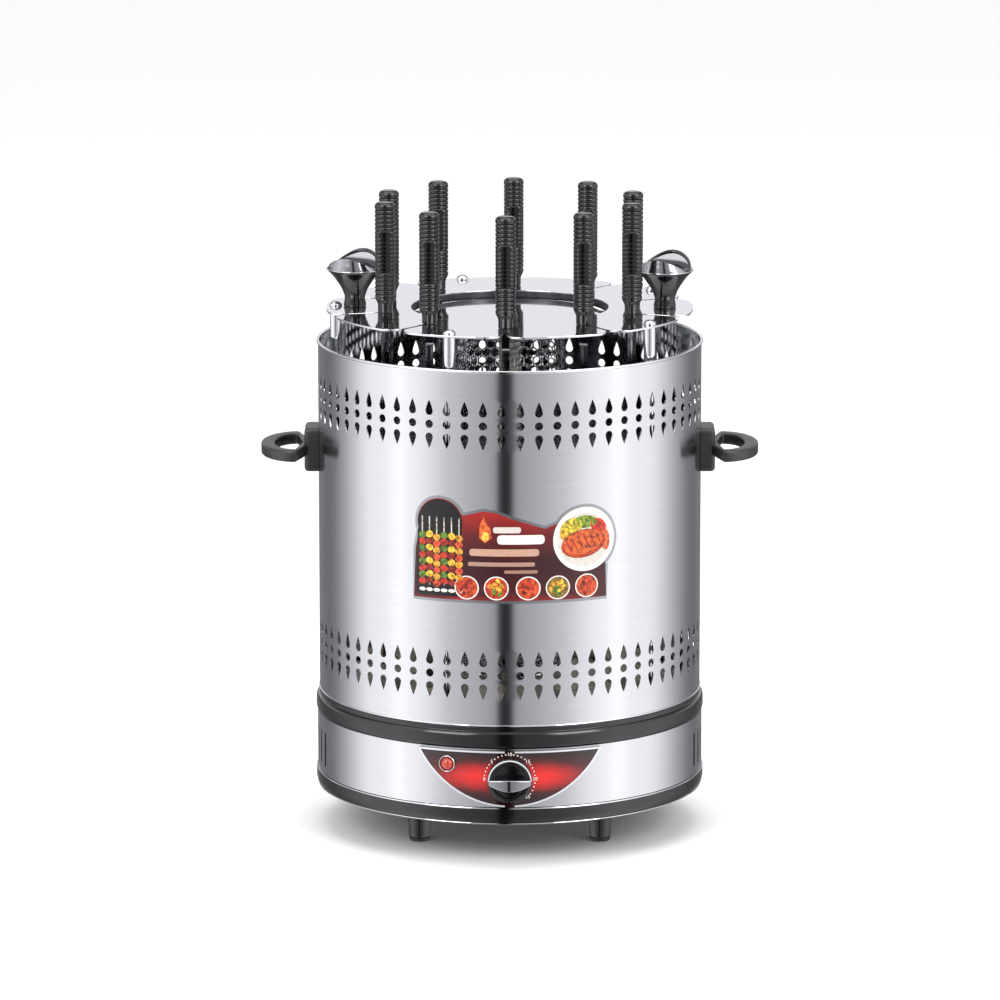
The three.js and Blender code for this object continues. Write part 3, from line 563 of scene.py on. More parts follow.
dark_grey_steel, tree, shader = new_material("stainless_steel_dark_grey", "#55555a", Metallic=1.0,
                                          Roughness=0.3)
# Dark grey, much darker than the plate, with dull grey clouds some 7 mm across.
cloudy(tree, shader, 150.0, 3.0, tones=[(0.3, "#4a4a50"), (0.7, "#5e5d60")])
add_piece("plate_collar", spin_profile(collar, 144, closed=True), dark_grey_steel, "rack")


# ---- Posts, screws and rack base ----------------------------------------------------------------
# Five polished rods join the plate to the zinc-plated ring below. A domed screw closes each post.
POST_R = 4.25 * MM
rack_low, rack_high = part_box("rack_base")
for i, place in enumerate(post_places, 1):
    rod = rounded([(0, rack_high.z + 0.3 * MM), (POST_R, rack_high.z + 0.3 * MM),
                   (POST_R, PLATE_UNDER - 0.3 * MM), (0, PLATE_UNDER - 0.3 * MM)], 0.6 * MM)
    add_piece(f"post_rod_{i}", spin_profile(rod, 32, centre=place), polished_steel, "rack",
              [f"rack_post_{i}"])
    top = plate_high.z + 0.1 * MM
    dome = [(4.6 * MM * math.cos(k * math.pi / 16),
             top + 0.4 * MM + 2.9 * MM * math.sin(k * math.pi / 16)) for k in range(9)]
    dome = [(3.0 * MM, PLATE_UNDER), (3.0 * MM, top), (4.5 * MM, top)] + dome
    add_piece(f"post_screw_{i}", spin_profile([(0, PLATE_UNDER)] + dome, 32, centre=place),
              polished_steel, "rack")

zinc_plate, tree, shader = new_material("mild_steel_zinc_plated", "#b3b6ba", Metallic=1.0)
# Electroplated zinc: a pale blue-grey spangle with cloudy gloss.
cloudy(tree, shader, 260.0, 4.0, roughness=(0.28, 0.5), tones=[(0.3, "#a3a7ac"), (0.7, "#bfc2c5")])
inner_r = SEAT_CIRCLE - 11.9 * MM
ring_outlines = [arc((0, 0), rack_high.y, 0, 2 * math.pi, 120)[:-1],
                 arc((0, 0), inner_r, 0, 2 * math.pi, 96)[:-1]]
ring_outlines += [arc(seat, 4.3 * MM, 0, 2 * math.pi, 20)[:-1] for seat in seats]
ring = flat_form(ring_outlines, rack_low.z)
thicken(ring, rack_high.z - rack_low.z, 0.3 * MM)
add_piece("rack_ring", ring, zinc_plate, "rack", ["rack_base"], sharp=12)


# ---- Lift knobs ---------------------------------------------------------------------------------
# Two-part knobs: a trumpet-shaped stem in glossy phenolic, and a saddle-shaped head in black chrome,
# with a bright ring between them and a glossy lip along the head's higher crest. A screw from below
# holds each to the plate.
gloss_black, tree, shader = new_material("phenolic_moulded_glossy", "#070708", IOR=1.55, Coat_Weight=0.1,
                                         Coat_Roughness=0.04)
# Moulded against a polished tool: a slight orange peel about 2 mm across.
cloudy(tree, shader, 420.0, roughness=(0.09, 0.17), relief=(0.12, 0.00005))
black_chrome, tree, shader = new_material("abs_black_chrome_plated", "#9b9ca0", Metallic=1.0)
# A dark mirror film with a breath of haze.
cloudy(tree, shader, 300.0, roughness=(0.08, 0.16))

STEM = ((8.0, 0), (8.3, 0.6), (8.0, 2.4), (7.4, 4.8), (7.6, 7.5), (8.4, 9.6), (9.6, 12.7), (11.9, 16.4),
        (14.8, 20.6), (17.8, 24.2), (20.4, 26.5), (20.6, 26.9))
CREST_R = 18.5
WALL_H = 5.6
HEAD = ((20.2, 0), (20.2, 0.5), (19.4, 2.6), (18.9, 4.4), (CREST_R, WALL_H),
        (CREST_R - 0.6, WALL_H + 0.1), (CREST_R - 1.4, WALL_H - 0.3), (15.0, 4.8), (11.0, 4.2),
        (7.0, 3.7), (3.5, 3.45))
SADDLE, TILT, CREST_TURN = 4.4, 1.0, math.radians(68)
RIM_RISE = 27.6 * MM
RIM_R, RIM_HALF_H = 20.5 * MM, 0.35 * MM


def crest_rise(x, y, share):
    """How far the head's wall is raised at a place: two crests with a hollow between them."""
    turn = math.atan2(y, x) - CREST_TURN
    near_edge = min(1, math.hypot(x, y) / (CREST_R * MM)) ** 2
    return share * near_edge * (SADDLE * math.cos(2 * turn) + TILT * math.cos(turn)) * MM


def stand_circle(form, place, radius, segments, filled=False):
    """Adds a circle that stands upright and faces the front."""
    bmesh.ops.create_circle(form, cap_ends=filled, segments=segments, radius=radius,
                            matrix=Matrix.Translation(place) @ Matrix.Rotation(math.pi / 2, 4, "X"))


def sweep_wire(place, radius, segments, start, angle, steps, rise=0):
    """Round wire swept about the vertical axis from a start angle, its ends closed; rise is per step."""
    form = bmesh.new()
    stand_circle(form, place, radius, segments)
    turn_form(form, start)
    bmesh.ops.spin(form, geom=form.verts[:] + form.edges[:], cent=(0, 0, 0), axis=(0, 0, 1), angle=angle,
                   steps=steps, dvec=(0, 0, rise), use_merge=False)
    bmesh.ops.holes_fill(form, edges=form.edges[:])
    outward(form)
    return form


LIP_R = (CREST_R - 0.5) * MM
LIP_TURN = math.radians(74)
crest_lip = sweep_wire((LIP_R, 0, 0), 1 * MM, 12, CREST_TURN - LIP_TURN, 2 * LIP_TURN, 40)
for v in crest_lip.verts:
    turn = math.atan2(v.co.y, v.co.x)
    thick = 0.35 + 1.25 * math.sqrt(max(0, math.cos(1.2 * (turn - CREST_TURN))))
    path_x, path_y = polar(LIP_R, turn)
    reach = LIP_R + thick * (v.co.xy.length - LIP_R)
    v.co = (*polar(reach, turn), (WALL_H - 0.3) * MM + crest_rise(path_x, path_y, 1) + thick * v.co.z)
for side in ("left", "right"):
    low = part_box("lift_knob_" + side)[0]
    place = middle("lift_knob_" + side)
    rim_z = low.z + RIM_RISE
    stem_profile = [(r * MM, low.z + z * MM) for r, z in ((0, 0), *STEM, (0, STEM[-1][1]))]
    stem = spin_profile(stem_profile, 72, centre=place)
    add_piece("lift_knob_stem_" + side, stem, gloss_black, "rack", ["lift_knob_" + side],
              sharp=50)
    head = spin_profile([(0, 0)] + [(r * MM, z * MM) for r, z in HEAD] + [(0, WALL_H * 0.6 * MM)], 96)
    for v in head.verts:
        v.co.z += crest_rise(v.co.x, v.co.y, max(0, v.co.z) / (WALL_H * MM))
    move_form(head, (*place, rim_z))
    add_piece("lift_knob_head_" + side, head, black_chrome, "rack", sharp=40)
    ring = wire_section(RIM_R, rim_z - RIM_HALF_H, 0.45 * MM, RIM_HALF_H, 10)
    add_piece("lift_knob_ring_" + side, spin_profile(ring, 96, closed=True, centre=place), polished_steel,
              "rack")
    lip = crest_lip.copy()
    move_form(lip, (*place, rim_z))
    add_piece("lift_knob_crest_" + side, lip, gloss_black, "rack", sharp=60)
crest_lip.free()


# ---- Skewers ------------------------------------------------------------------------------------
# Flat polished blades moulded into black phenolic grips. Each grip has a domed cap, rings at both
# ends, and between them smooth flats with slanting notches at the sides.
GRIP_R = 7.4
GROOVE_R = 6.55
RING_PITCH = 3.1
NOTCH_PITCH = 3.05
FLAT_HALF = 5.7
FLAT_SWELL = 0.25 # share of its round that a flat keeps
SLANT = 0.34
grip_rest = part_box("skewer_handle_1")
grip_z = plate_high.z + 0.3 * MM
grip_height = (grip_rest[1].z - grip_z) / MM


def ring_points(start, count, pitch_mm):
    """Profile of rounded rings with narrow grooves between them."""
    points = []
    for k in range(count):
        z = start + k * pitch_mm
        points += [(GROOVE_R, z), (GRIP_R - 0.36, z + 0.32), (GRIP_R - 0.08, z + 0.9),
                   (GRIP_R, z + pitch_mm / 2), (GRIP_R - 0.08, z + pitch_mm - 0.9),
                   (GRIP_R - 0.36, z + pitch_mm - 0.32)]
    return points


MIDDLE = 29.3
MIDDLE_END = MIDDLE + 10 * NOTCH_PITCH
CAP_START = MIDDLE_END + 5 * RING_PITCH
spigot_drop = (grip_z - grip_rest[0].z) / MM
profile = [(0, -spigot_drop), (4.0, -spigot_drop), (4.0, 0), (5.1, 0.05), (5.35, 0.5), (5.35, 5.6),
           (5.8, 7.4), (6.8, 9.2), (7.35, 10.6), (7.35, 12.2), (7.0, 13.0)]
profile += ring_points(13.6, 5, RING_PITCH) + ring_points(MIDDLE, 10, NOTCH_PITCH)
profile += ring_points(MIDDLE_END, 5, RING_PITCH)
profile += [(GROOVE_R, CAP_START), (7.2, CAP_START + 0.4), (GRIP_R, CAP_START + 1.0)]
CAP_STRAIGHT, CAP_ROUND = 2.4, 3.2
cap_rise = grip_height - CAP_START - CAP_STRAIGHT
profile += [(GRIP_R - CAP_ROUND + CAP_ROUND * math.cos(t),
             grip_height - cap_rise + cap_rise * math.sin(t) * 0.97) for t in (0, 0.35, 0.7, 1.05, 1.4)]
profile += [(1.8, grip_height - 0.04), (0, grip_height)]
grip_form = spin_profile([(r * MM, z * MM) for r, z in profile], 48)
for v in grip_form.verts:
    z = v.co.z / MM
    if MIDDLE + 0.1 < z < MIDDLE_END - 0.1:
        depth = min(1, (z - MIDDLE) / NOTCH_PITCH, (MIDDLE_END - z) / NOTCH_PITCH)
        v.co.z -= SLANT * abs(v.co.y) * depth
        proud = abs(v.co.y) - FLAT_HALF * MM
        if proud > 0:
            v.co.y -= math.copysign((1 - FLAT_SWELL) * proud, v.co.y)
outward(grip_form)
for i, seat in enumerate(seats, 1):
    grip = grip_form.copy()
    move_form(grip, (*seat, grip_z))
    add_piece(f"skewer_grip_{i}", grip, gloss_black, f"skewer_{i}", [f"skewer_handle_{i}"],
              sharp=34)
    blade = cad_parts[f"skewer_blade_{i}"]
    blade.data.materials.clear()
    blade.data.materials.append(polished_steel)
grip_form.free()


# ---- Drip cups and drive gear -------------------------------------------------------------------
# Natural nylon mouldings. Each cup has its gear and axle in one piece and a slotted socket for the
# blade's tip; the drive gear below them turns all ten.
nylon, tree, shader = new_material("nylon_moulded_natural", "#d9d5c6", Subsurface_Weight=0.15,
                                   Subsurface_Scale=0.003)
# Undyed nylon: milky, with faint clouds and a dull sheen.
cloudy(tree, shader, 120.0, 3.0, roughness=(0.35, 0.5), tones=[(0.3, "#d2cebd"), (0.7, "#e0dccf")])
RACK_TURN = math.radians(-1.8)
CUP_TEETH = 10
GEAR_MODULE = 2 * SEAT_CIRCLE / 60
cup_low, cup_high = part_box("drip_cup_1")
cup_r = (cup_high.x - cup_low.x) / 2
dish_z = cup_high.z - 9 * MM
gear_z = rack_high.z + 0.3 * MM
floor_z = dish_z + 1.5 * MM


def gear_outline(teeth, module, turn):
    """Straight-sided teeth, thinned at the pitch line as on the real gears."""
    root, tip = module * (teeth / 2 - 1.05), module * (teeth / 2 + 0.72)
    step = 2 * math.pi / teeth
    return [polar(radius, turn + (k + offset) * step) for k in range(teeth)
            for radius, offset in ((root, -0.27), (tip, -0.10), (tip, 0.10), (root, 0.27))]


cup_gear = flat_form([gear_outline(CUP_TEETH, GEAR_MODULE, math.pi / CUP_TEETH + RACK_TURN)], gear_z)
thicken(cup_gear, dish_z - gear_z, 0.25 * MM)
dish_profile = rounded([(0, dish_z), (cup_r - 2.5 * MM, dish_z), (cup_r, cup_high.z),
                        (cup_r - 1.5 * MM, cup_high.z), (cup_r - 3.8 * MM, floor_z), (5.5 * MM, floor_z),
                        (5.5 * MM, floor_z + 6 * MM), (3.6 * MM, floor_z + 6 * MM),
                        (3.6 * MM, floor_z + 0.3 * MM), (0, floor_z + 0.3 * MM)], 0.7 * MM)
dish = spin_profile(dish_profile, 48)
axle = spin_profile([(0, rack_low.z), (4 * MM, rack_low.z), (4 * MM, gear_z), (0, gear_z)], 24)
for i, seat in enumerate(seats, 1):
    for part, form in (("gear", cup_gear), ("dish", dish), ("axle", axle)):
        copy = form.copy()
        move_form(copy, (*seat, 0))
        add_piece(f"drip_cup_{part}_{i}", copy, nylon, f"cup_{i}",
                  [f"drip_cup_{i}"] if part == "gear" else [])
for form in (cup_gear, dish, axle):
    form.free()
for name, material in (("drive_gear", nylon), ("motor_pinion", nylon), ("gear_motor", zinc_plate),
                       ("timer_unit", zinc_plate)):
    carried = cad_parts[name]
    carried.data.materials.clear()
    carried.data.materials.append(material)


# ---- Heater -------------------------------------------------------------------------------------
# A coil in a quartz tube stands in the middle, inside a guard of punched hexagonal mesh under a
# polished cap. The guard's flange stands on the hub's foot tube.
guard_low, guard_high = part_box("heater_guard")
GUARD_R = guard_high.x
GUARD_Z = 113 * MM
HEX_COLUMNS = 36
hex_pitch = 2 * math.pi * GUARD_R / HEX_COLUMNS
hex_r = hex_pitch / math.sqrt(3)
mesh_sheet = bmesh.new()
row_rise = hex_r * 1.5
rows = int((guard_high.z - GUARD_Z) / row_rise)
for row in range(rows):
    for column in range(HEX_COLUMNS):
        across = (column + 0.5 * (row % 2)) * hex_pitch
        stand_circle(mesh_sheet, (across, 0, GUARD_Z + hex_r + row * row_rise), hex_r, 6, filled=True)
bmesh.ops.inset_individual(mesh_sheet, faces=mesh_sheet.faces[:], thickness=0.55 * MM)
centres = [f for f in mesh_sheet.faces if len(f.verts) == 6]
bmesh.ops.delete(mesh_sheet, geom=centres, context="FACES")
bmesh.ops.remove_doubles(mesh_sheet, verts=mesh_sheet.verts, dist=0.05 * MM)
wrap(mesh_sheet, GUARD_R)
bmesh.ops.remove_doubles(mesh_sheet, verts=mesh_sheet.verts, dist=0.05 * MM)
outward(mesh_sheet)
bmesh.ops.solidify(mesh_sheet, geom=mesh_sheet.faces[:], thickness=0.6 * MM)
add_piece("guard_mesh", mesh_sheet, polished_steel, "base", ["heater_guard"], sharp=30)
foot_r = 28.5 * MM
flange = rounded([(foot_r - 2 * MM, guard_low.z), (foot_r, guard_low.z), (foot_r, GUARD_Z - 1.5 * MM),
                  (GUARD_R, GUARD_Z - 1.5 * MM), (GUARD_R, GUARD_Z + 3 * MM),
                  (GUARD_R - 0.8 * MM, GUARD_Z + 3 * MM), (GUARD_R - 0.8 * MM, GUARD_Z),
                  (foot_r - 2 * MM, GUARD_Z)], 0.4 * MM, closed=True)
add_piece("guard_foot", spin_profile(flange, 96, closed=True), polished_steel, "base")
crown = [(GUARD_R, guard_high.z - 4 * MM), (GUARD_R, guard_high.z), (GUARD_R - 0.9 * MM, guard_high.z),
         (GUARD_R - 0.9 * MM, guard_high.z - 4 * MM)]
add_piece("guard_crown", spin_profile(crown, 96, closed=True), polished_steel, "base")

quartz, tree, shader = new_material("quartz_glass_drawn_milky", "#e9e6df", Roughness=0.3, IOR=1.46)
# Satin quartz spreads the coil's glow: milky white with faint clouds.
cloudy(tree, shader, 90.0, tones=[(0.3, "#dcd8cf"), (0.7, "#efece6")])
tube_low, tube_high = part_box("heater_tube")
tube_r = tube_high.x - 1.2 * MM
tube = rounded([(0, tube_low.z), (tube_r, tube_low.z), (tube_r, tube_high.z), (0, tube_high.z)], 2 * MM)
add_piece("heater_quartz", spin_profile(tube, 32), quartz, "base", ["heater_tube"])
COIL_TURNS = 52
COIL_STEPS = 20 * COIL_TURNS
COIL_LOW, COIL_HEIGHT = 120 * MM, 240 * MM
coil = sweep_wire((tube_r + 0.5 * MM, 0, COIL_LOW), 0.6 * MM, 6, 0, 2 * math.pi * COIL_TURNS, COIL_STEPS,
                  COIL_HEIGHT / COIL_STEPS)
add_piece("heater_coil", coil, zinc_plate, "base")

cap_low, cap_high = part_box("heater_cap")
CAP_R = cap_high.y
cap = rounded([(0, cap_low.z), (CAP_R - 0.5 * MM, cap_low.z), (CAP_R, cap_high.z - 0.2 * MM),
               (CAP_R - 1.2 * MM, cap_high.z), (0, cap_high.z)], 0.5 * MM)
add_piece("heater_cap_disc", spin_profile(cap, 128), polished_steel, "base",
          ["heater_cap"])


# ---- Base: pan, feet and deck -------------------------------------------------------------------
# Glossy phenolic mouldings above and below the steel band. The deck carries the trim ring, the
# barrel's seat and its lip. Fine polished wires along the rings' edges are painted highlight lines.
pan_low, pan_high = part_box("base_pan")
RING_R = pan_high.x
PAN_TOP = 43 * MM
upstand = 140.3 * MM
pan = rounded([(0, pan_low.z), (RING_R - 9 * MM, pan_low.z), (RING_R - 1.6 * MM, pan_low.z + 2.6 * MM),
               (RING_R, pan_low.z + 7 * MM), (RING_R, PAN_TOP - 1.0 * MM), (RING_R - 1.2 * MM, PAN_TOP),
               (upstand, PAN_TOP), (upstand, pan_high.z), (upstand - 3 * MM, pan_high.z),
               (upstand - 3 * MM, pan_low.z + 3 * MM), (0, pan_low.z + 3 * MM)], 1.6 * MM, steps=4)
add_piece("pan_moulding", spin_profile(pan, 192), gloss_black, "base", ["base_pan"])

deck_low, deck_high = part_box("base_deck")
TRIM_Z = deck_low.z + 6.4 * MM
TRIM_TOP = TRIM_Z + 11.5 * MM
SEAT_Z = TRIM_TOP + 3.8 * MM
DECK_TOP = TRIM_TOP + 3.3 * MM
HUB_HOLE = 33.6 * MM
lip_r = BARREL_R - 1.4 * MM
deck = rounded([(HUB_HOLE, DECK_TOP - 3 * MM), (upstand - 3 * MM, DECK_TOP - 3 * MM),
                (upstand - 3 * MM, deck_low.z), (upstand, deck_low.z), (upstand, TRIM_Z),
                (RING_R - 0.8 * MM, TRIM_Z), (RING_R, TRIM_Z + 2.5 * MM),
                (RING_R - 0.2 * MM, TRIM_TOP - 2.2 * MM), (RING_R - 1.3 * MM, TRIM_TOP),
                (BARREL_R - 0.2 * MM, TRIM_TOP + 0.1 * MM), (BARREL_R - 0.2 * MM, SEAT_Z),
                (lip_r, SEAT_Z), (lip_r, deck_high.z), (lip_r - 2.2 * MM, deck_high.z),
                (lip_r - 2.2 * MM, DECK_TOP), (HUB_HOLE + 4.4 * MM, DECK_TOP),
                (HUB_HOLE + 4.4 * MM, gear_z - 0.3 * MM), (HUB_HOLE, gear_z - 0.3 * MM)], 1.0 * MM,
               closed=True)
add_piece("deck_moulding", spin_profile(deck, 192, closed=True), gloss_black, "base",
          ["base_deck"])

# Painted highlights: thin polished wires stand for the light that the mouldings' rounded edges catch.
for name, r, z, size in (("pan_painted_highlight_line", RING_R - 0.45 * MM, PAN_TOP - 0.55 * MM, 0.5),
                         ("pan_lower_painted_highlight_line", RING_R - 1.15 * MM, pan_low.z + 3.1 * MM, 0.35),
                         ("trim_painted_highlight_line", RING_R - 0.9 * MM, TRIM_Z + 0.7 * MM, 0.3)):
    line = spin_profile(wire_section(r, z, size * MM, size * MM, 8), 192, closed=True)
    add_piece(name, line, polished_steel, "base")

rubber, tree, shader = new_material("nitrile_rubber_moulded", "#101012", Roughness=0.6)
# Dull black with a slight grey bloom.
cloudy(tree, shader, 500.0, 3.0, tones=[(0.3, "#0d0d0f"), (0.7, "#18181a")])
for i in range(1, 5):
    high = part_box(f"foot_{i}")[1]
    place = middle(f"foot_{i}")
    foot = rounded([(0, 3.2 * MM), (8.15 * MM, 3.2 * MM), (9.3 * MM, high.z), (0, high.z)], 0.8 * MM)
    add_piece(f"foot_moulding_{i}", spin_profile(foot, 40, centre=place), gloss_black, "base",
              [f"foot_{i}"])
    pad = rounded([(0, 0), (7.2 * MM, 0), (8.0 * MM, 3.1 * MM), (0, 3.1 * MM)], 0.9 * MM)
    add_piece(f"foot_pad_{i}", spin_profile(pad, 40, centre=place), rubber, "base")


# ---- Base: steel band ---------------------------------------------------------------------------
# Brushed stainless strip between the two mouldings, with a row of vent slots punched in each side
# and cut-outs behind the panel and the gland.
band_low, band_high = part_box("base_band")
BAND_R = band_high.x
STEPS = 288
LAMP_STEP = -14.6
VENT_LOW, VENT_HIGH = 49.7 * MM, 74.6 * MM
cut_rows = [band_low.z, VENT_LOW, 56 * MM, 70 * MM, VENT_HIGH, 80 * MM, band_high.z]
strip = bmesh.new()
half_step = math.pi / STEPS
column = [strip.verts.new((-BAND_R * math.sin(half_step), -BAND_R * math.cos(half_step), z))
          for z in cut_rows]
column_edges = [strip.edges.new(pair) for pair in zip(column, column[1:])]
bmesh.ops.spin(strip, geom=column + column_edges, cent=(0, 0, 0), axis=(0, 0, 1), angle=2 * math.pi,
               steps=STEPS, use_merge=True)
bmesh.ops.remove_doubles(strip, verts=strip.verts, dist=1e-6)
outward(strip)
punched = []
for face in strip.faces:
    centre = face.calc_center_median()
    step = math.degrees(math.atan2(centre.x, -centre.y)) / (360 / STEPS)
    beside = round(abs(abs(step) - STEPS / 4))
    in_vent = VENT_LOW < centre.z < VENT_HIGH and beside < 16 and beside % 4 == 2
    behind_timer = abs(step) < 2 and 56 * MM < centre.z < 70 * MM
    behind_lamp = abs(step - LAMP_STEP) < 2 and 70 * MM < centre.z < 80 * MM
    behind_gland = abs(step) > STEPS / 2 - 3 and 56 * MM < centre.z < 70 * MM
    if in_vent or behind_timer or behind_lamp or behind_gland:
        punched.append(face)
bmesh.ops.delete(strip, geom=punched, context="FACES")
bmesh.ops.solidify(strip, geom=strip.faces[:], thickness=0.9 * MM)
add_piece("band_strip", strip, brushed_steel, "base", ["base_band"], sharp=40)


# ---- Control panel ------------------------------------------------------------------------------
# Curved acrylic lens, printed behind in dark red with brighter red to each side of the timer that
# also gives off a weak painted glow, framed by two silver-printed edge lines that stop short of each
# other in the middle.
panel_low, panel_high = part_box("control_panel")
PANEL_R = -panel_low.y
PANEL_T = 2 * MM
panel_half = panel_high.x
panel_h = panel_high.z - panel_low.z
lens_r = (panel_half ** 2 + panel_h ** 2) / (2 * panel_h)
TIMER_Z = 64.5 * MM


def panel_bottom(x):
    """Height of the panel's round lower edge."""
    return panel_low.z + lens_r - math.sqrt(max(0, lens_r ** 2 - x ** 2))


def on_front(x, radius):
    """Y of an upright cylinder's front at a distance from the middle."""
    return -math.sqrt(radius ** 2 - x ** 2)


printed_red, tree, shader = new_material("acrylic_moulded_back_printed", "#6d0f0c", Roughness=0.07,
                                         IOR=1.49, Coat_Weight=0.6, Coat_Roughness=0.04)
# Ink behind a clear, wet-looking lens: printed red at the timer's height, made brighter there as a
# painted glow, that sinks to near black above, below and towards both ends, a little mottled.
spot = add_node(tree, "ShaderNodeTexCoord").outputs["Object"]
where = add_node(tree, "ShaderNodeSeparateXYZ", links={0: spot})
beside_knob = add_node(tree, "ShaderNodeMath", {"operation": "ABSOLUTE"}, links={0: where.outputs["X"]})
off_side = add_node(tree, "ShaderNodeMapRange", {"interpolation_type": "SMOOTHSTEP"},
                    values={"From Min": 20 * MM, "From Max": 66 * MM},
                    links={0: beside_knob.outputs[0]})
off_height = add_node(tree, "ShaderNodeMath", {"operation": "SUBTRACT"}, values={1: TIMER_Z + 1.5 * MM},
                      links={0: where.outputs["Z"]})
off_line = add_node(tree, "ShaderNodeMath", {"operation": "ABSOLUTE"}, links={0: off_height.outputs[0]})
fade = add_node(tree, "ShaderNodeMapRange", {"interpolation_type": "SMOOTHSTEP"},
                values={"From Max": 18 * MM, "To Min": 1.0, "To Max": 0.0},
                links={0: off_line.outputs[0]})
side_fade = add_node(tree, "ShaderNodeMath", {"operation": "MULTIPLY_ADD"}, values={1: -0.75, 2: 1.0},
                     links={0: off_side.outputs[0]})
print_and_painted_glow = add_node(tree, "ShaderNodeMath", {"operation": "MULTIPLY"},
                links={0: fade.outputs[0], 1: side_fade.outputs[0]})
speck = add_node(tree, "ShaderNodeTexNoise", values={"Scale": 70.0, "Detail": 2.0},
                 links={"Vector": spot})
mottled = add_node(tree, "ShaderNodeMath", {"operation": "MULTIPLY_ADD"}, values={1: 0.16, 2: -0.08},
                   links={0: speck.outputs[0]})
level = add_node(tree, "ShaderNodeMath", {"operation": "ADD"},
                 links={0: print_and_painted_glow.outputs[0], 1: mottled.outputs[0]})
red = add_node(tree, "ShaderNodeValToRGB", links={0: level.outputs[0]})
colour_stops(red.color_ramp, [(0.0, "#1c090b"), (0.3, "#400d0e"), (0.65, "#9a1512"), (1.0, "#cc1f17")])
tree.links.new(red.outputs[0], shader.inputs["Base Color"])
tree.links.new(red.outputs[0], shader.inputs["Emission Color"])
# Painted glow: the lens emits its own red, though no lamp lies behind it.
shader.inputs["Emission Strength"].default_value = 0.15

lens = bmesh.new()
bmesh.ops.create_grid(lens, x_segments=66, y_segments=10, size=1)
for v in lens.verts:
    x = v.co.x * (panel_half - 0.4 * MM)
    t = (v.co.y + 1) / 2
    v.co = (x, 0, panel_bottom(x) * (1 - t) + panel_high.z * t)
bmesh.ops.remove_doubles(lens, verts=lens.verts, dist=0.02 * MM)
for v in lens.verts:
    v.co.y = on_front(v.co.x, PANEL_R)
outward(lens)
if sum(f.normal.y for f in lens.faces) > 0:
    bmesh.ops.reverse_faces(lens, faces=lens.faces)
bmesh.ops.solidify(lens, geom=lens.faces[:], thickness=PANEL_T)
add_piece("panel_lens", lens, printed_red, "base", ["control_panel"], sharp=40)

silver_print, tree, shader = new_material("silver_foil_hot_stamped", "#dedfe2", Metallic=0.55)
# Stamped foil: bright, with a fine unevenness.
cloudy(tree, shader, 700.0, roughness=(0.25, 0.4))
LINE_W = 1.2 * MM
LINE_GAP = 3.6 * MM
LINE_PROUD = 0.35 * MM
middle_z = panel_low.z + lens_r


def lower_edge(radius, from_x):
    """Points inwards along the panel's round lower edge, or along a smaller circle about its middle."""
    start, end = math.asin(from_x / radius), math.asin(LINE_GAP / radius)
    turns = [start + (end - start) * k / 26 for k in range(27)]
    return [(radius * math.sin(a), middle_z - radius * math.cos(a)) for a in turns]


inner_top = panel_high.z - LINE_W
tip_x = math.sqrt((lens_r - LINE_W) ** 2 - (middle_z - inner_top) ** 2)
outer = [(LINE_GAP, panel_high.z), (panel_half * 0.5, panel_high.z),
         (panel_half - 0.3 * MM, panel_high.z)]
outer += lower_edge(lens_r, panel_half - 1.0 * MM)
inner = [(LINE_GAP, inner_top), (panel_half * 0.5, inner_top), (tip_x, inner_top)]
inner += lower_edge(lens_r - LINE_W, tip_x)
for side in (-1, 1):
    edging = bmesh.new()
    chains = []
    for chain in (outer, inner):
        verts = [edging.verts.new((side * x, 0, z)) for x, z in chain]
        chains += [edging.edges.new(pair) for pair in zip(verts, verts[1:])]
    bmesh.ops.bridge_loops(edging, edges=chains)
    long_edges = [e for e in edging.edges if e.calc_length() > 8 * MM]
    bmesh.ops.subdivide_edges(edging, edges=long_edges, cuts=10, use_grid_fill=True)
    for v in edging.verts:
        v.co.y = on_front(v.co.x, PANEL_R + LINE_PROUD)
    outward(edging)
    if sum(f.normal.y for f in edging.faces) > 0:
        bmesh.ops.reverse_faces(edging, faces=edging.faces)
    bmesh.ops.solidify(edging, geom=edging.faces[:], thickness=LINE_PROUD + 0.1 * MM)
    add_piece(f"panel_edging_{'left' if side < 0 else 'right'}", edging, silver_print, "base")

# Dial print: a number every 45 degrees and four dots between two numbers.
white_ink, tree, shader = new_material("screen_ink_printed_white", "#f2f0ee", Roughness=0.5)
# Flat white ink, slightly uneven in cover.
cloudy(tree, shader, 900.0, tones=[(0.3, "#e9e6e4"), (0.7, "#f8f6f5")])
DIAL_R = 18.3 * MM
INK_T = 0.12 * MM
dots = bmesh.new()
for number in range(6):
    dial_turn = math.radians(180 - 45 * number)
    label = bpy.data.curves.new(f"dial_{number * 5}", "FONT")
    label.body = str(number * 5)
    label.size = 3.6 * MM
    label.align_x, label.align_y = "CENTER", "CENTER"
    label.extrude = INK_T / 2
    holder = bpy.data.objects.new(f"dial_text_{number * 5}", label)
    bpy.context.scene.collection.objects.link(holder)
    bpy.context.view_layer.update()
    outline = bpy.data.meshes.new_from_object(holder.evaluated_get(bpy.context.evaluated_depsgraph_get()))
    bpy.data.objects.remove(holder)
    figure = bmesh.new()
    figure.from_mesh(outline)
    x, z = DIAL_R * math.cos(dial_turn), TIMER_Z + DIAL_R * math.sin(dial_turn)
    for v in figure.verts:
        across, up, lift = v.co.x + x, v.co.y + z, v.co.z
        v.co = (across, on_front(across, PANEL_R) - INK_T / 2 - lift, up)
    outward(figure)
    add_piece(f"dial_number_{number * 5}", figure, white_ink, "base")
    for k in range(1, 5 if number < 5 else 1):
        dot_turn = dial_turn - math.radians(9 * k)
        across = DIAL_R * math.cos(dot_turn)
        stand_circle(dots, (across, on_front(across, PANEL_R) - INK_T,
                            TIMER_Z + DIAL_R * math.sin(dot_turn)), 0.5 * MM, 12, filled=True)
add_piece("dial_dots", dots, white_ink, "base")


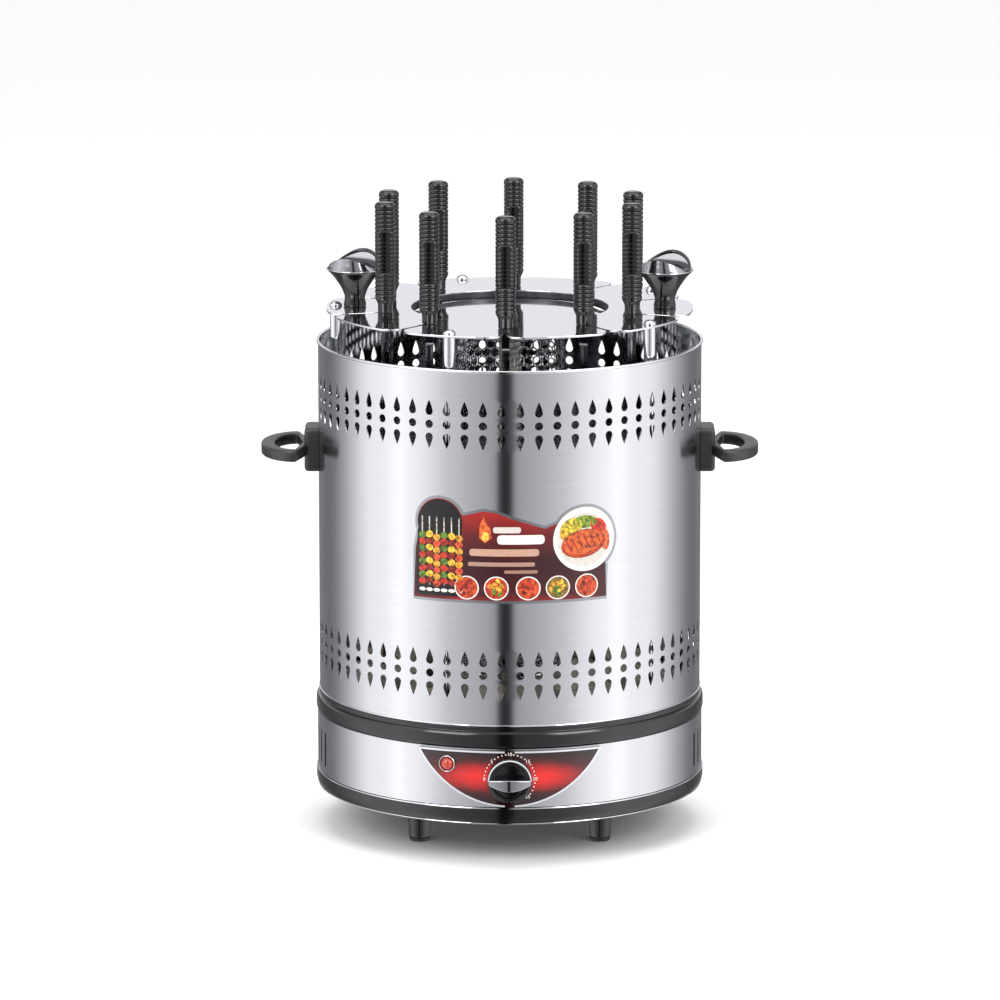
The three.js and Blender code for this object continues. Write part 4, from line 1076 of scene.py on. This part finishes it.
# ---- Label --------------------------------------------------------------------------------------
# Self-adhesive printed foil with a die-cut outline, stuck to the barrel's front: a bare silver edge,
# a red ground and small pictures of food. Plain bars stand where a label has its words.
LABEL_OUTLINE = [(-72, 230), (-72, 192.5), (72.4, 192.5), (73.4, 218)]
LABEL_OUTLINE += arc((54.8, 237.4), 25.8, math.radians(-46), math.radians(146), 40)
LABEL_OUTLINE += [(25.2, 248.7), (15.1, 251.9), (1.7, 256), (-8.3, 259.9), (-19.5, 261.4), (-33.6, 257.8)]
LABEL_OUTLINE += arc((-51.1, 250.2), 19.3, math.radians(23), math.radians(200), 30)
FOIL_T = 0.12
LIFT_STEP = 0.03


def lay_on_barrel(form):
    """Wraps a flat print around the barrel's front; it is drawn in millimetres, its lift as height."""
    low_x, high_x = min(v.co.x for v in form.verts), max(v.co.x for v in form.verts)
    for k in range(1, int((high_x - low_x) / 4) + 1):
        bmesh.ops.bisect_plane(form, geom=form.verts[:] + form.edges[:] + form.faces[:],
                               plane_co=(low_x + 4 * k, 0, 0), plane_no=(1, 0, 0))
    turn_form(form, math.pi / 2, "X")
    bmesh.ops.scale(form, verts=form.verts, vec=(MM, MM, MM))
    wrap(form, BARREL_R)


def shrunk(outline, inset):
    """Outline moved inwards along the mean normal of its neighbouring edges."""
    moved = []
    for i, (x, y) in enumerate(outline):
        (x0, y0), (x1, y1) = outline[i - 1], outline[(i + 1) % len(outline)]
        nearby = math.hypot(x1 - x0, y1 - y0)
        moved.append((x - inset * (y1 - y0) / nearby, y + inset * (x1 - x0) / nearby))
    return moved


silver_foil, tree, shader = new_material("polyester_foil_metallised", "#9ea0a3", Metallic=1.0)
# Satin metallised film with faint creases.
cloudy(tree, shader, 350.0, roughness=(0.22, 0.36))

red_ground, tree, shader = new_material("polyester_foil_printed_red", "#7a1414", Roughness=0.3)
# The ink runs from bright red at the label's upper and lower edges to maroon in the middle.
spot = add_node(tree, "ShaderNodeTexCoord").outputs["Object"]
where = add_node(tree, "ShaderNodeSeparateXYZ", links={0: spot})
label_height = add_node(tree, "ShaderNodeMapRange", values={"From Min": 192 * MM, "From Max": 270 * MM},
                        links={0: where.outputs["Z"]})
ink_cloud = add_node(tree, "ShaderNodeTexNoise", values={"Scale": 38.0, "Detail": 2.0},
                     links={"Vector": spot})
ink_level = add_node(tree, "ShaderNodeMath", {"operation": "MULTIPLY_ADD"}, values={1: 0.22},
                     links={0: ink_cloud.outputs[0], 2: label_height.outputs[0]})
ground_tone = add_node(tree, "ShaderNodeValToRGB", links={0: ink_level.outputs[0]})
colour_stops(ground_tone.color_ramp, [(0.10, "#8a1412"), (0.20, "#420d12"), (0.50, "#2f0a0f"),
                                      (0.78, "#5e0f10"), (1.0, "#9c1712")])
tree.links.new(ground_tone.outputs[0], shader.inputs["Base Color"])

layers = (("label_foil", 0.0, silver_foil, "polished_steel"),
          ("label_ground", 2.0, red_ground, "red_panel"))
for level, (name, inset, material, slot) in enumerate(layers):
    sheet = flat_form([shrunk(LABEL_OUTLINE, inset)], LIFT_STEP)
    thicken(sheet, FOIL_T + level * LIFT_STEP, 0)
    lay_on_barrel(sheet)
    add_piece(name, sheet, material, "shell")

picture_ink, tree, shader = new_material("polyester_foil_printed_pictures", "#c08050", Roughness=0.35)
# Each shape's flat tint, broken up by darker blotches 2 mm across as far as the tint's alpha says.
spot = add_node(tree, "ShaderNodeTexCoord").outputs["Object"]
tint = add_node(tree, "ShaderNodeAttribute", {"attribute_name": "tint"})
blotch = add_node(tree, "ShaderNodeTexNoise", values={"Scale": 420.0, "Detail": 4.0},
                  links={"Vector": spot})
blotch_tone = add_node(tree, "ShaderNodeValToRGB", links={0: blotch.outputs[0]})
colour_stops(blotch_tone.color_ramp, [(0.35, "#8a7f7a"), (0.5, "#e0dcd8"), (0.6, "#ffffff")])
printed = add_node(tree, "ShaderNodeMix", {"data_type": "RGBA", "blend_type": "MULTIPLY"},
                   links={"Factor": tint.outputs["Alpha"], "A": tint.outputs["Color"],
                          "B": blotch_tone.outputs[0]})
tree.links.new(printed.outputs["Result"], shader.inputs["Base Color"])

pictures = bmesh.new()
tint_layer = pictures.loops.layers.float_color.new("tint")
PICTURE_LIFT = FOIL_T + 0.12


def paint_shape(code, outline, level=0, mottle=1.0):
    """Adds one flat printed shape, in millimetres, in a colour; a higher level lies over a lower one."""
    z = PICTURE_LIFT + level * LIFT_STEP
    face = pictures.faces.new([pictures.verts.new((x, y, z)) for x, y in outline])
    for corner in face.loops:
        corner[tint_layer] = (*srgb(code)[:3], mottle)


def oval(x, y, half_w, half_h, turn=0.0, steps=24):
    """Outline of an ellipse turned by some degrees."""
    c, s = math.cos(math.radians(turn)), math.sin(math.radians(turn))
    turns = [2 * math.pi * k / steps for k in range(steps)]
    return [(x + half_w * math.cos(t) * c - half_h * math.sin(t) * s,
             y + half_w * math.cos(t) * s + half_h * math.sin(t) * c) for t in turns]


def bar(x, y, half_w, half_h):
    """Outline of a bar with round corners."""
    left, right, low_y, high_y = x - half_w, x + half_w, y - half_h, y + half_h
    return rounded([(left, low_y), (right, low_y), (right, high_y), (left, high_y)], half_h, closed=True)


# Left picture: skewers of food standing on a dark ground.
FOOD = ("#c8351c", "#e2a02e", "#8f2414", "#5f8228", "#d6502a", "#efc23c")
paint_shape("#120b0b", oval(-51.1, 249.6, 17.1, 17.4, 0, 40))
paint_shape("#150d0c", rounded([(-69.4, 196.5), (-34.5, 196.5), (-34.5, 246), (-68.2, 246)], 3,
                               closed=True))
for column in range(6):
    x = -64.5 + 5.6 * column
    paint_shape("#cfc9c0", bar(x, 229, 0.45, 25), 1)
    for row in range(8):
        y = 206.5 + 4.8 * row + 1.1 * math.sin(column * 2.3)
        paint_shape(FOOD[(column * 2 + row * 3) % len(FOOD)],
                    oval(x, y, 2.9, 2.5, 25 * math.sin(column + row), 12), 2)
    paint_shape("#e8e4dd", oval(x, 200.6, 2.5, 1.3), 2, 0.2)

# Right picture: a white plate with a grilled steak and vegetables.
paint_shape("#dcd9d4", oval(54.8, 237.6, 23.7, 23.4, 0, 48), 0, 0.15)
paint_shape("#c9c4bb", oval(54.4, 237.4, 20.2, 19.6, 0, 40), 1, 0.15)
for x, y, half_w, half_h, turn, code in ((44.5, 246.5, 8.5, 6.4, 25, "#d9c23a"),
                                         (55, 250.2, 9.5, 4.6, 0, "#7f9a2c"),
                                         (65.5, 246.5, 6.6, 5.2, -35, "#c9301c"),
                                         (40.6, 241.8, 4.6, 4.2, 20, "#e6a52e"),
                                         (70.5, 236.5, 4.0, 8.2, 8, "#d9663a")):
    paint_shape(code, oval(x, y, half_w, half_h, turn), 2)
paint_shape("#b8431a", oval(54.0, 234.5, 17.2, 10.2, 10), 3)
paint_shape("#d8602a", oval(53.6, 235.6, 15.4, 8.4, 10), 4)
for k in range(6):
    paint_shape("#a8340f", oval(42.4 + 4.6 * k, 233.8 + 0.7 * k, 0.7, 6.2 - 0.5 * abs(k - 2.5), 28), 5)

# Middle: a flame between plain bars.
paint_shape("#e8662a", [(-22, 240), (-17.5, 236.5), (-12.5, 240.5), (-14, 247), (-17, 251),
                        (-18.5, 255.5), (-21.5, 249)], 1)
paint_shape("#f3c04a", oval(-17.4, 241.2, 2.8, 3.4), 2)
for x, y, half_w, half_h, code in ((-2, 246, 10, 2.2, "#c9c2bc"), (8, 239, 17, 3.4, "#dad5cf"),
                                   (-4, 229.5, 25, 2.6, "#b98f7c"), (-6, 221, 24, 1.5, "#a37d6e"),
                                   (8, 215.6, 12, 1.2, "#97705f")):
    paint_shape(code, bar(x, y, half_w, half_h), 1, 0.1)

# Five small round pictures along the bottom: each a white-edged dish heaped with mixed food.
DISH_Y = 203.6
for k, (x, dish_code) in enumerate(((-31, "#d2481f"), (-9.6, "#c43a1c"), (13.2, "#cf4a1e"),
                                    (34.7, "#8a6a2a"), (56.4, "#d4541f"))):
    paint_shape("#dedad4", oval(x, DISH_Y, 8.9, 8.7, 0, 32), 1, 0.1)
    paint_shape(dish_code, oval(x, DISH_Y, 8.0, 7.8, 0, 32), 2)
    for j in range(9):
        turn, reach = 2.4 * j + k, 1.9 * math.sqrt(j)
        food_x, food_y = x + reach * math.cos(turn), DISH_Y + reach * math.sin(turn)
        paint_shape(FOOD[(j * 2 + k) % len(FOOD)], oval(food_x, food_y, 2.1, 1.4, 60 * j, 10), 3)
lay_on_barrel(pictures)
add_piece("label_pictures", pictures, picture_ink, "shell")


# ---- Timer knob ---------------------------------------------------------------------------------
# Glossy black disc with a silver line round the upper half of its face, a painted highlight where
# the rim catches the light, and a full-width grip bar with a metallic coat, pinned to the timer's shaft.
knob_low, knob_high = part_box("timer_knob")
KNOB_R = knob_high.x
KNOB_BACK = PANEL_R + 0.5 * MM
KNOB_FACE = KNOB_BACK + 7.6 * MM


def face_front(form, z):
    """Turns a form made along +Z to point to the front, at a height."""
    turn_form(form, math.pi / 2, "X")
    move_form(form, (0, 0, z))


body = spin_profile(rounded([(0, -knob_high.y), (3 * MM, -knob_high.y), (3 * MM, KNOB_BACK),
                             (KNOB_R, KNOB_BACK), (KNOB_R, KNOB_FACE - 2.2 * MM),
                             (KNOB_R - 1.6 * MM, KNOB_FACE), (KNOB_R - 3.2 * MM, KNOB_FACE),
                             (KNOB_R - 4.4 * MM, KNOB_FACE - 2.0 * MM), (0, KNOB_FACE - 2.4 * MM)],
                            0.7 * MM), 96)
face_front(body, TIMER_Z)
add_piece("timer_knob_body", body, gloss_black, "dial", ["timer_knob"], sharp=50)
# Painted highlight: a silver arc round only the upper half of the face's rim, where the light falls.
line = sweep_wire((KNOB_R - 1.0 * MM, 0, KNOB_FACE - 0.5 * MM), 0.55 * MM, 10, 0, math.pi, 60)
face_front(line, TIMER_Z)
add_piece("timer_knob_painted_highlight_arc", line, silver_print, "dial")
grip_bar = bmesh.new()
bmesh.ops.create_cube(grip_bar, size=2)
across = [e for e in grip_bar.edges if abs(e.verts[0].co.x - e.verts[1].co.x) > 1]
bmesh.ops.subdivide_edges(grip_bar, edges=across, cuts=23, use_grid_fill=True)
for v in grip_bar.verts:
    x, y, z = v.co
    swell = math.cos(x * math.pi / 2 * 0.92)
    up = 1.5 + 1.0 * swell if z > 0 else -(1.6 + 4.6 * swell)
    front = -knob_low.y - (1 - swell) * 4.2 * MM
    v.co = (x * (KNOB_R - 0.9 * MM), -front if y < 0 else -(KNOB_FACE - 3 * MM), TIMER_Z + up * MM)
bevel_sharp(grip_bar, 0.9 * MM, 3, 50)
add_piece("timer_knob_grip", grip_bar, black_chrome, "dial", sharp=40)


# ---- Lamp and cord gland ------------------------------------------------------------------------
# A neon behind a red moulded lens, held by a chromed bezel; and the moulded gland at the back that
# the cord comes out of.
red_lens, tree, shader = new_material("polycarbonate_moulded_red", "#b8341f", Roughness=0.08, IOR=1.58,
                                      Transmission_Weight=0.25, Coat_Weight=0.5)
# A clear red lens over a weak neon: glossy, a little brighter where the light gathers.
lens_tone = cloudy(tree, shader, 240.0, tones=[(0.3, "#a8270f"), (0.7, "#c9432c")])
tree.links.new(lens_tone, shader.inputs["Emission Color"])
shader.inputs["Emission Strength"].default_value = 0.18
LAMP_X = -44.6 * MM
LAMP_Z = 74.8 * MM
lamp_turn = math.asin(LAMP_X / PANEL_R)
seat_r = PANEL_R + 0.3 * MM
lens_profile = [(0, seat_r - 8 * MM), (4.4 * MM, seat_r - 8 * MM), (4.4 * MM, seat_r + 1.0 * MM),
                (4.0 * MM, seat_r + 2.2 * MM), (2.9 * MM, seat_r + 3.3 * MM),
                (1.4 * MM, seat_r + 4.0 * MM), (0, seat_r + 4.2 * MM)]
bezel_profile = rounded([(5.0 * MM, seat_r), (6.15 * MM, seat_r), (6.15 * MM, seat_r + 1.4 * MM),
                         (5.6 * MM, seat_r + 2.2 * MM), (5.0 * MM, seat_r + 1.4 * MM)], 0.5 * MM,
                        closed=True)
for name, profile, closed, material, slot, stands in (
    ("lamp_lens", lens_profile, False, red_lens, "red_lens", ["indicator_lamp"]),
    ("lamp_bezel", bezel_profile, True, polished_steel, "polished_steel", []),
):
    form = spin_profile(profile, 40, closed=closed)
    face_front(form, LAMP_Z)
    turn_form(form, lamp_turn)
    add_piece(name, form, material, "base", stands, sharp=50)

gland_low, gland_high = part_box("cord_gland")
gland_seat = BAND_R + 0.3 * MM
gland_profile = [(0, gland_low.y), (6.5 * MM, gland_low.y), (6.5 * MM, gland_seat), (10 * MM, gland_seat),
                 (10 * MM, gland_seat + 2.4 * MM), (7.6 * MM, gland_seat + 4.2 * MM)]
for k in range(3):
    start = gland_seat + (5.0 + 3.6 * k) * MM
    gland_profile += [(7.3 * MM - k * 0.4 * MM, start), (7.3 * MM - k * 0.4 * MM, start + 1.8 * MM),
                      (6.3 * MM - k * 0.3 * MM, start + 2.2 * MM),
                      (6.3 * MM - k * 0.3 * MM, start + 3.2 * MM)]
gland_profile += [(5.9 * MM, gland_high.y), (3.3 * MM, gland_high.y), (3.3 * MM, gland_high.y - 7 * MM),
                  (0, gland_high.y - 7 * MM)]
gland = spin_profile(rounded(gland_profile, 0.35 * MM), 40)
face_front(gland, (gland_low.z + gland_high.z) / 2)
turn_form(gland, math.pi)
add_piece("cord_gland_moulding", gland, satin_black, "base", ["cord_gland"], sharp=50)
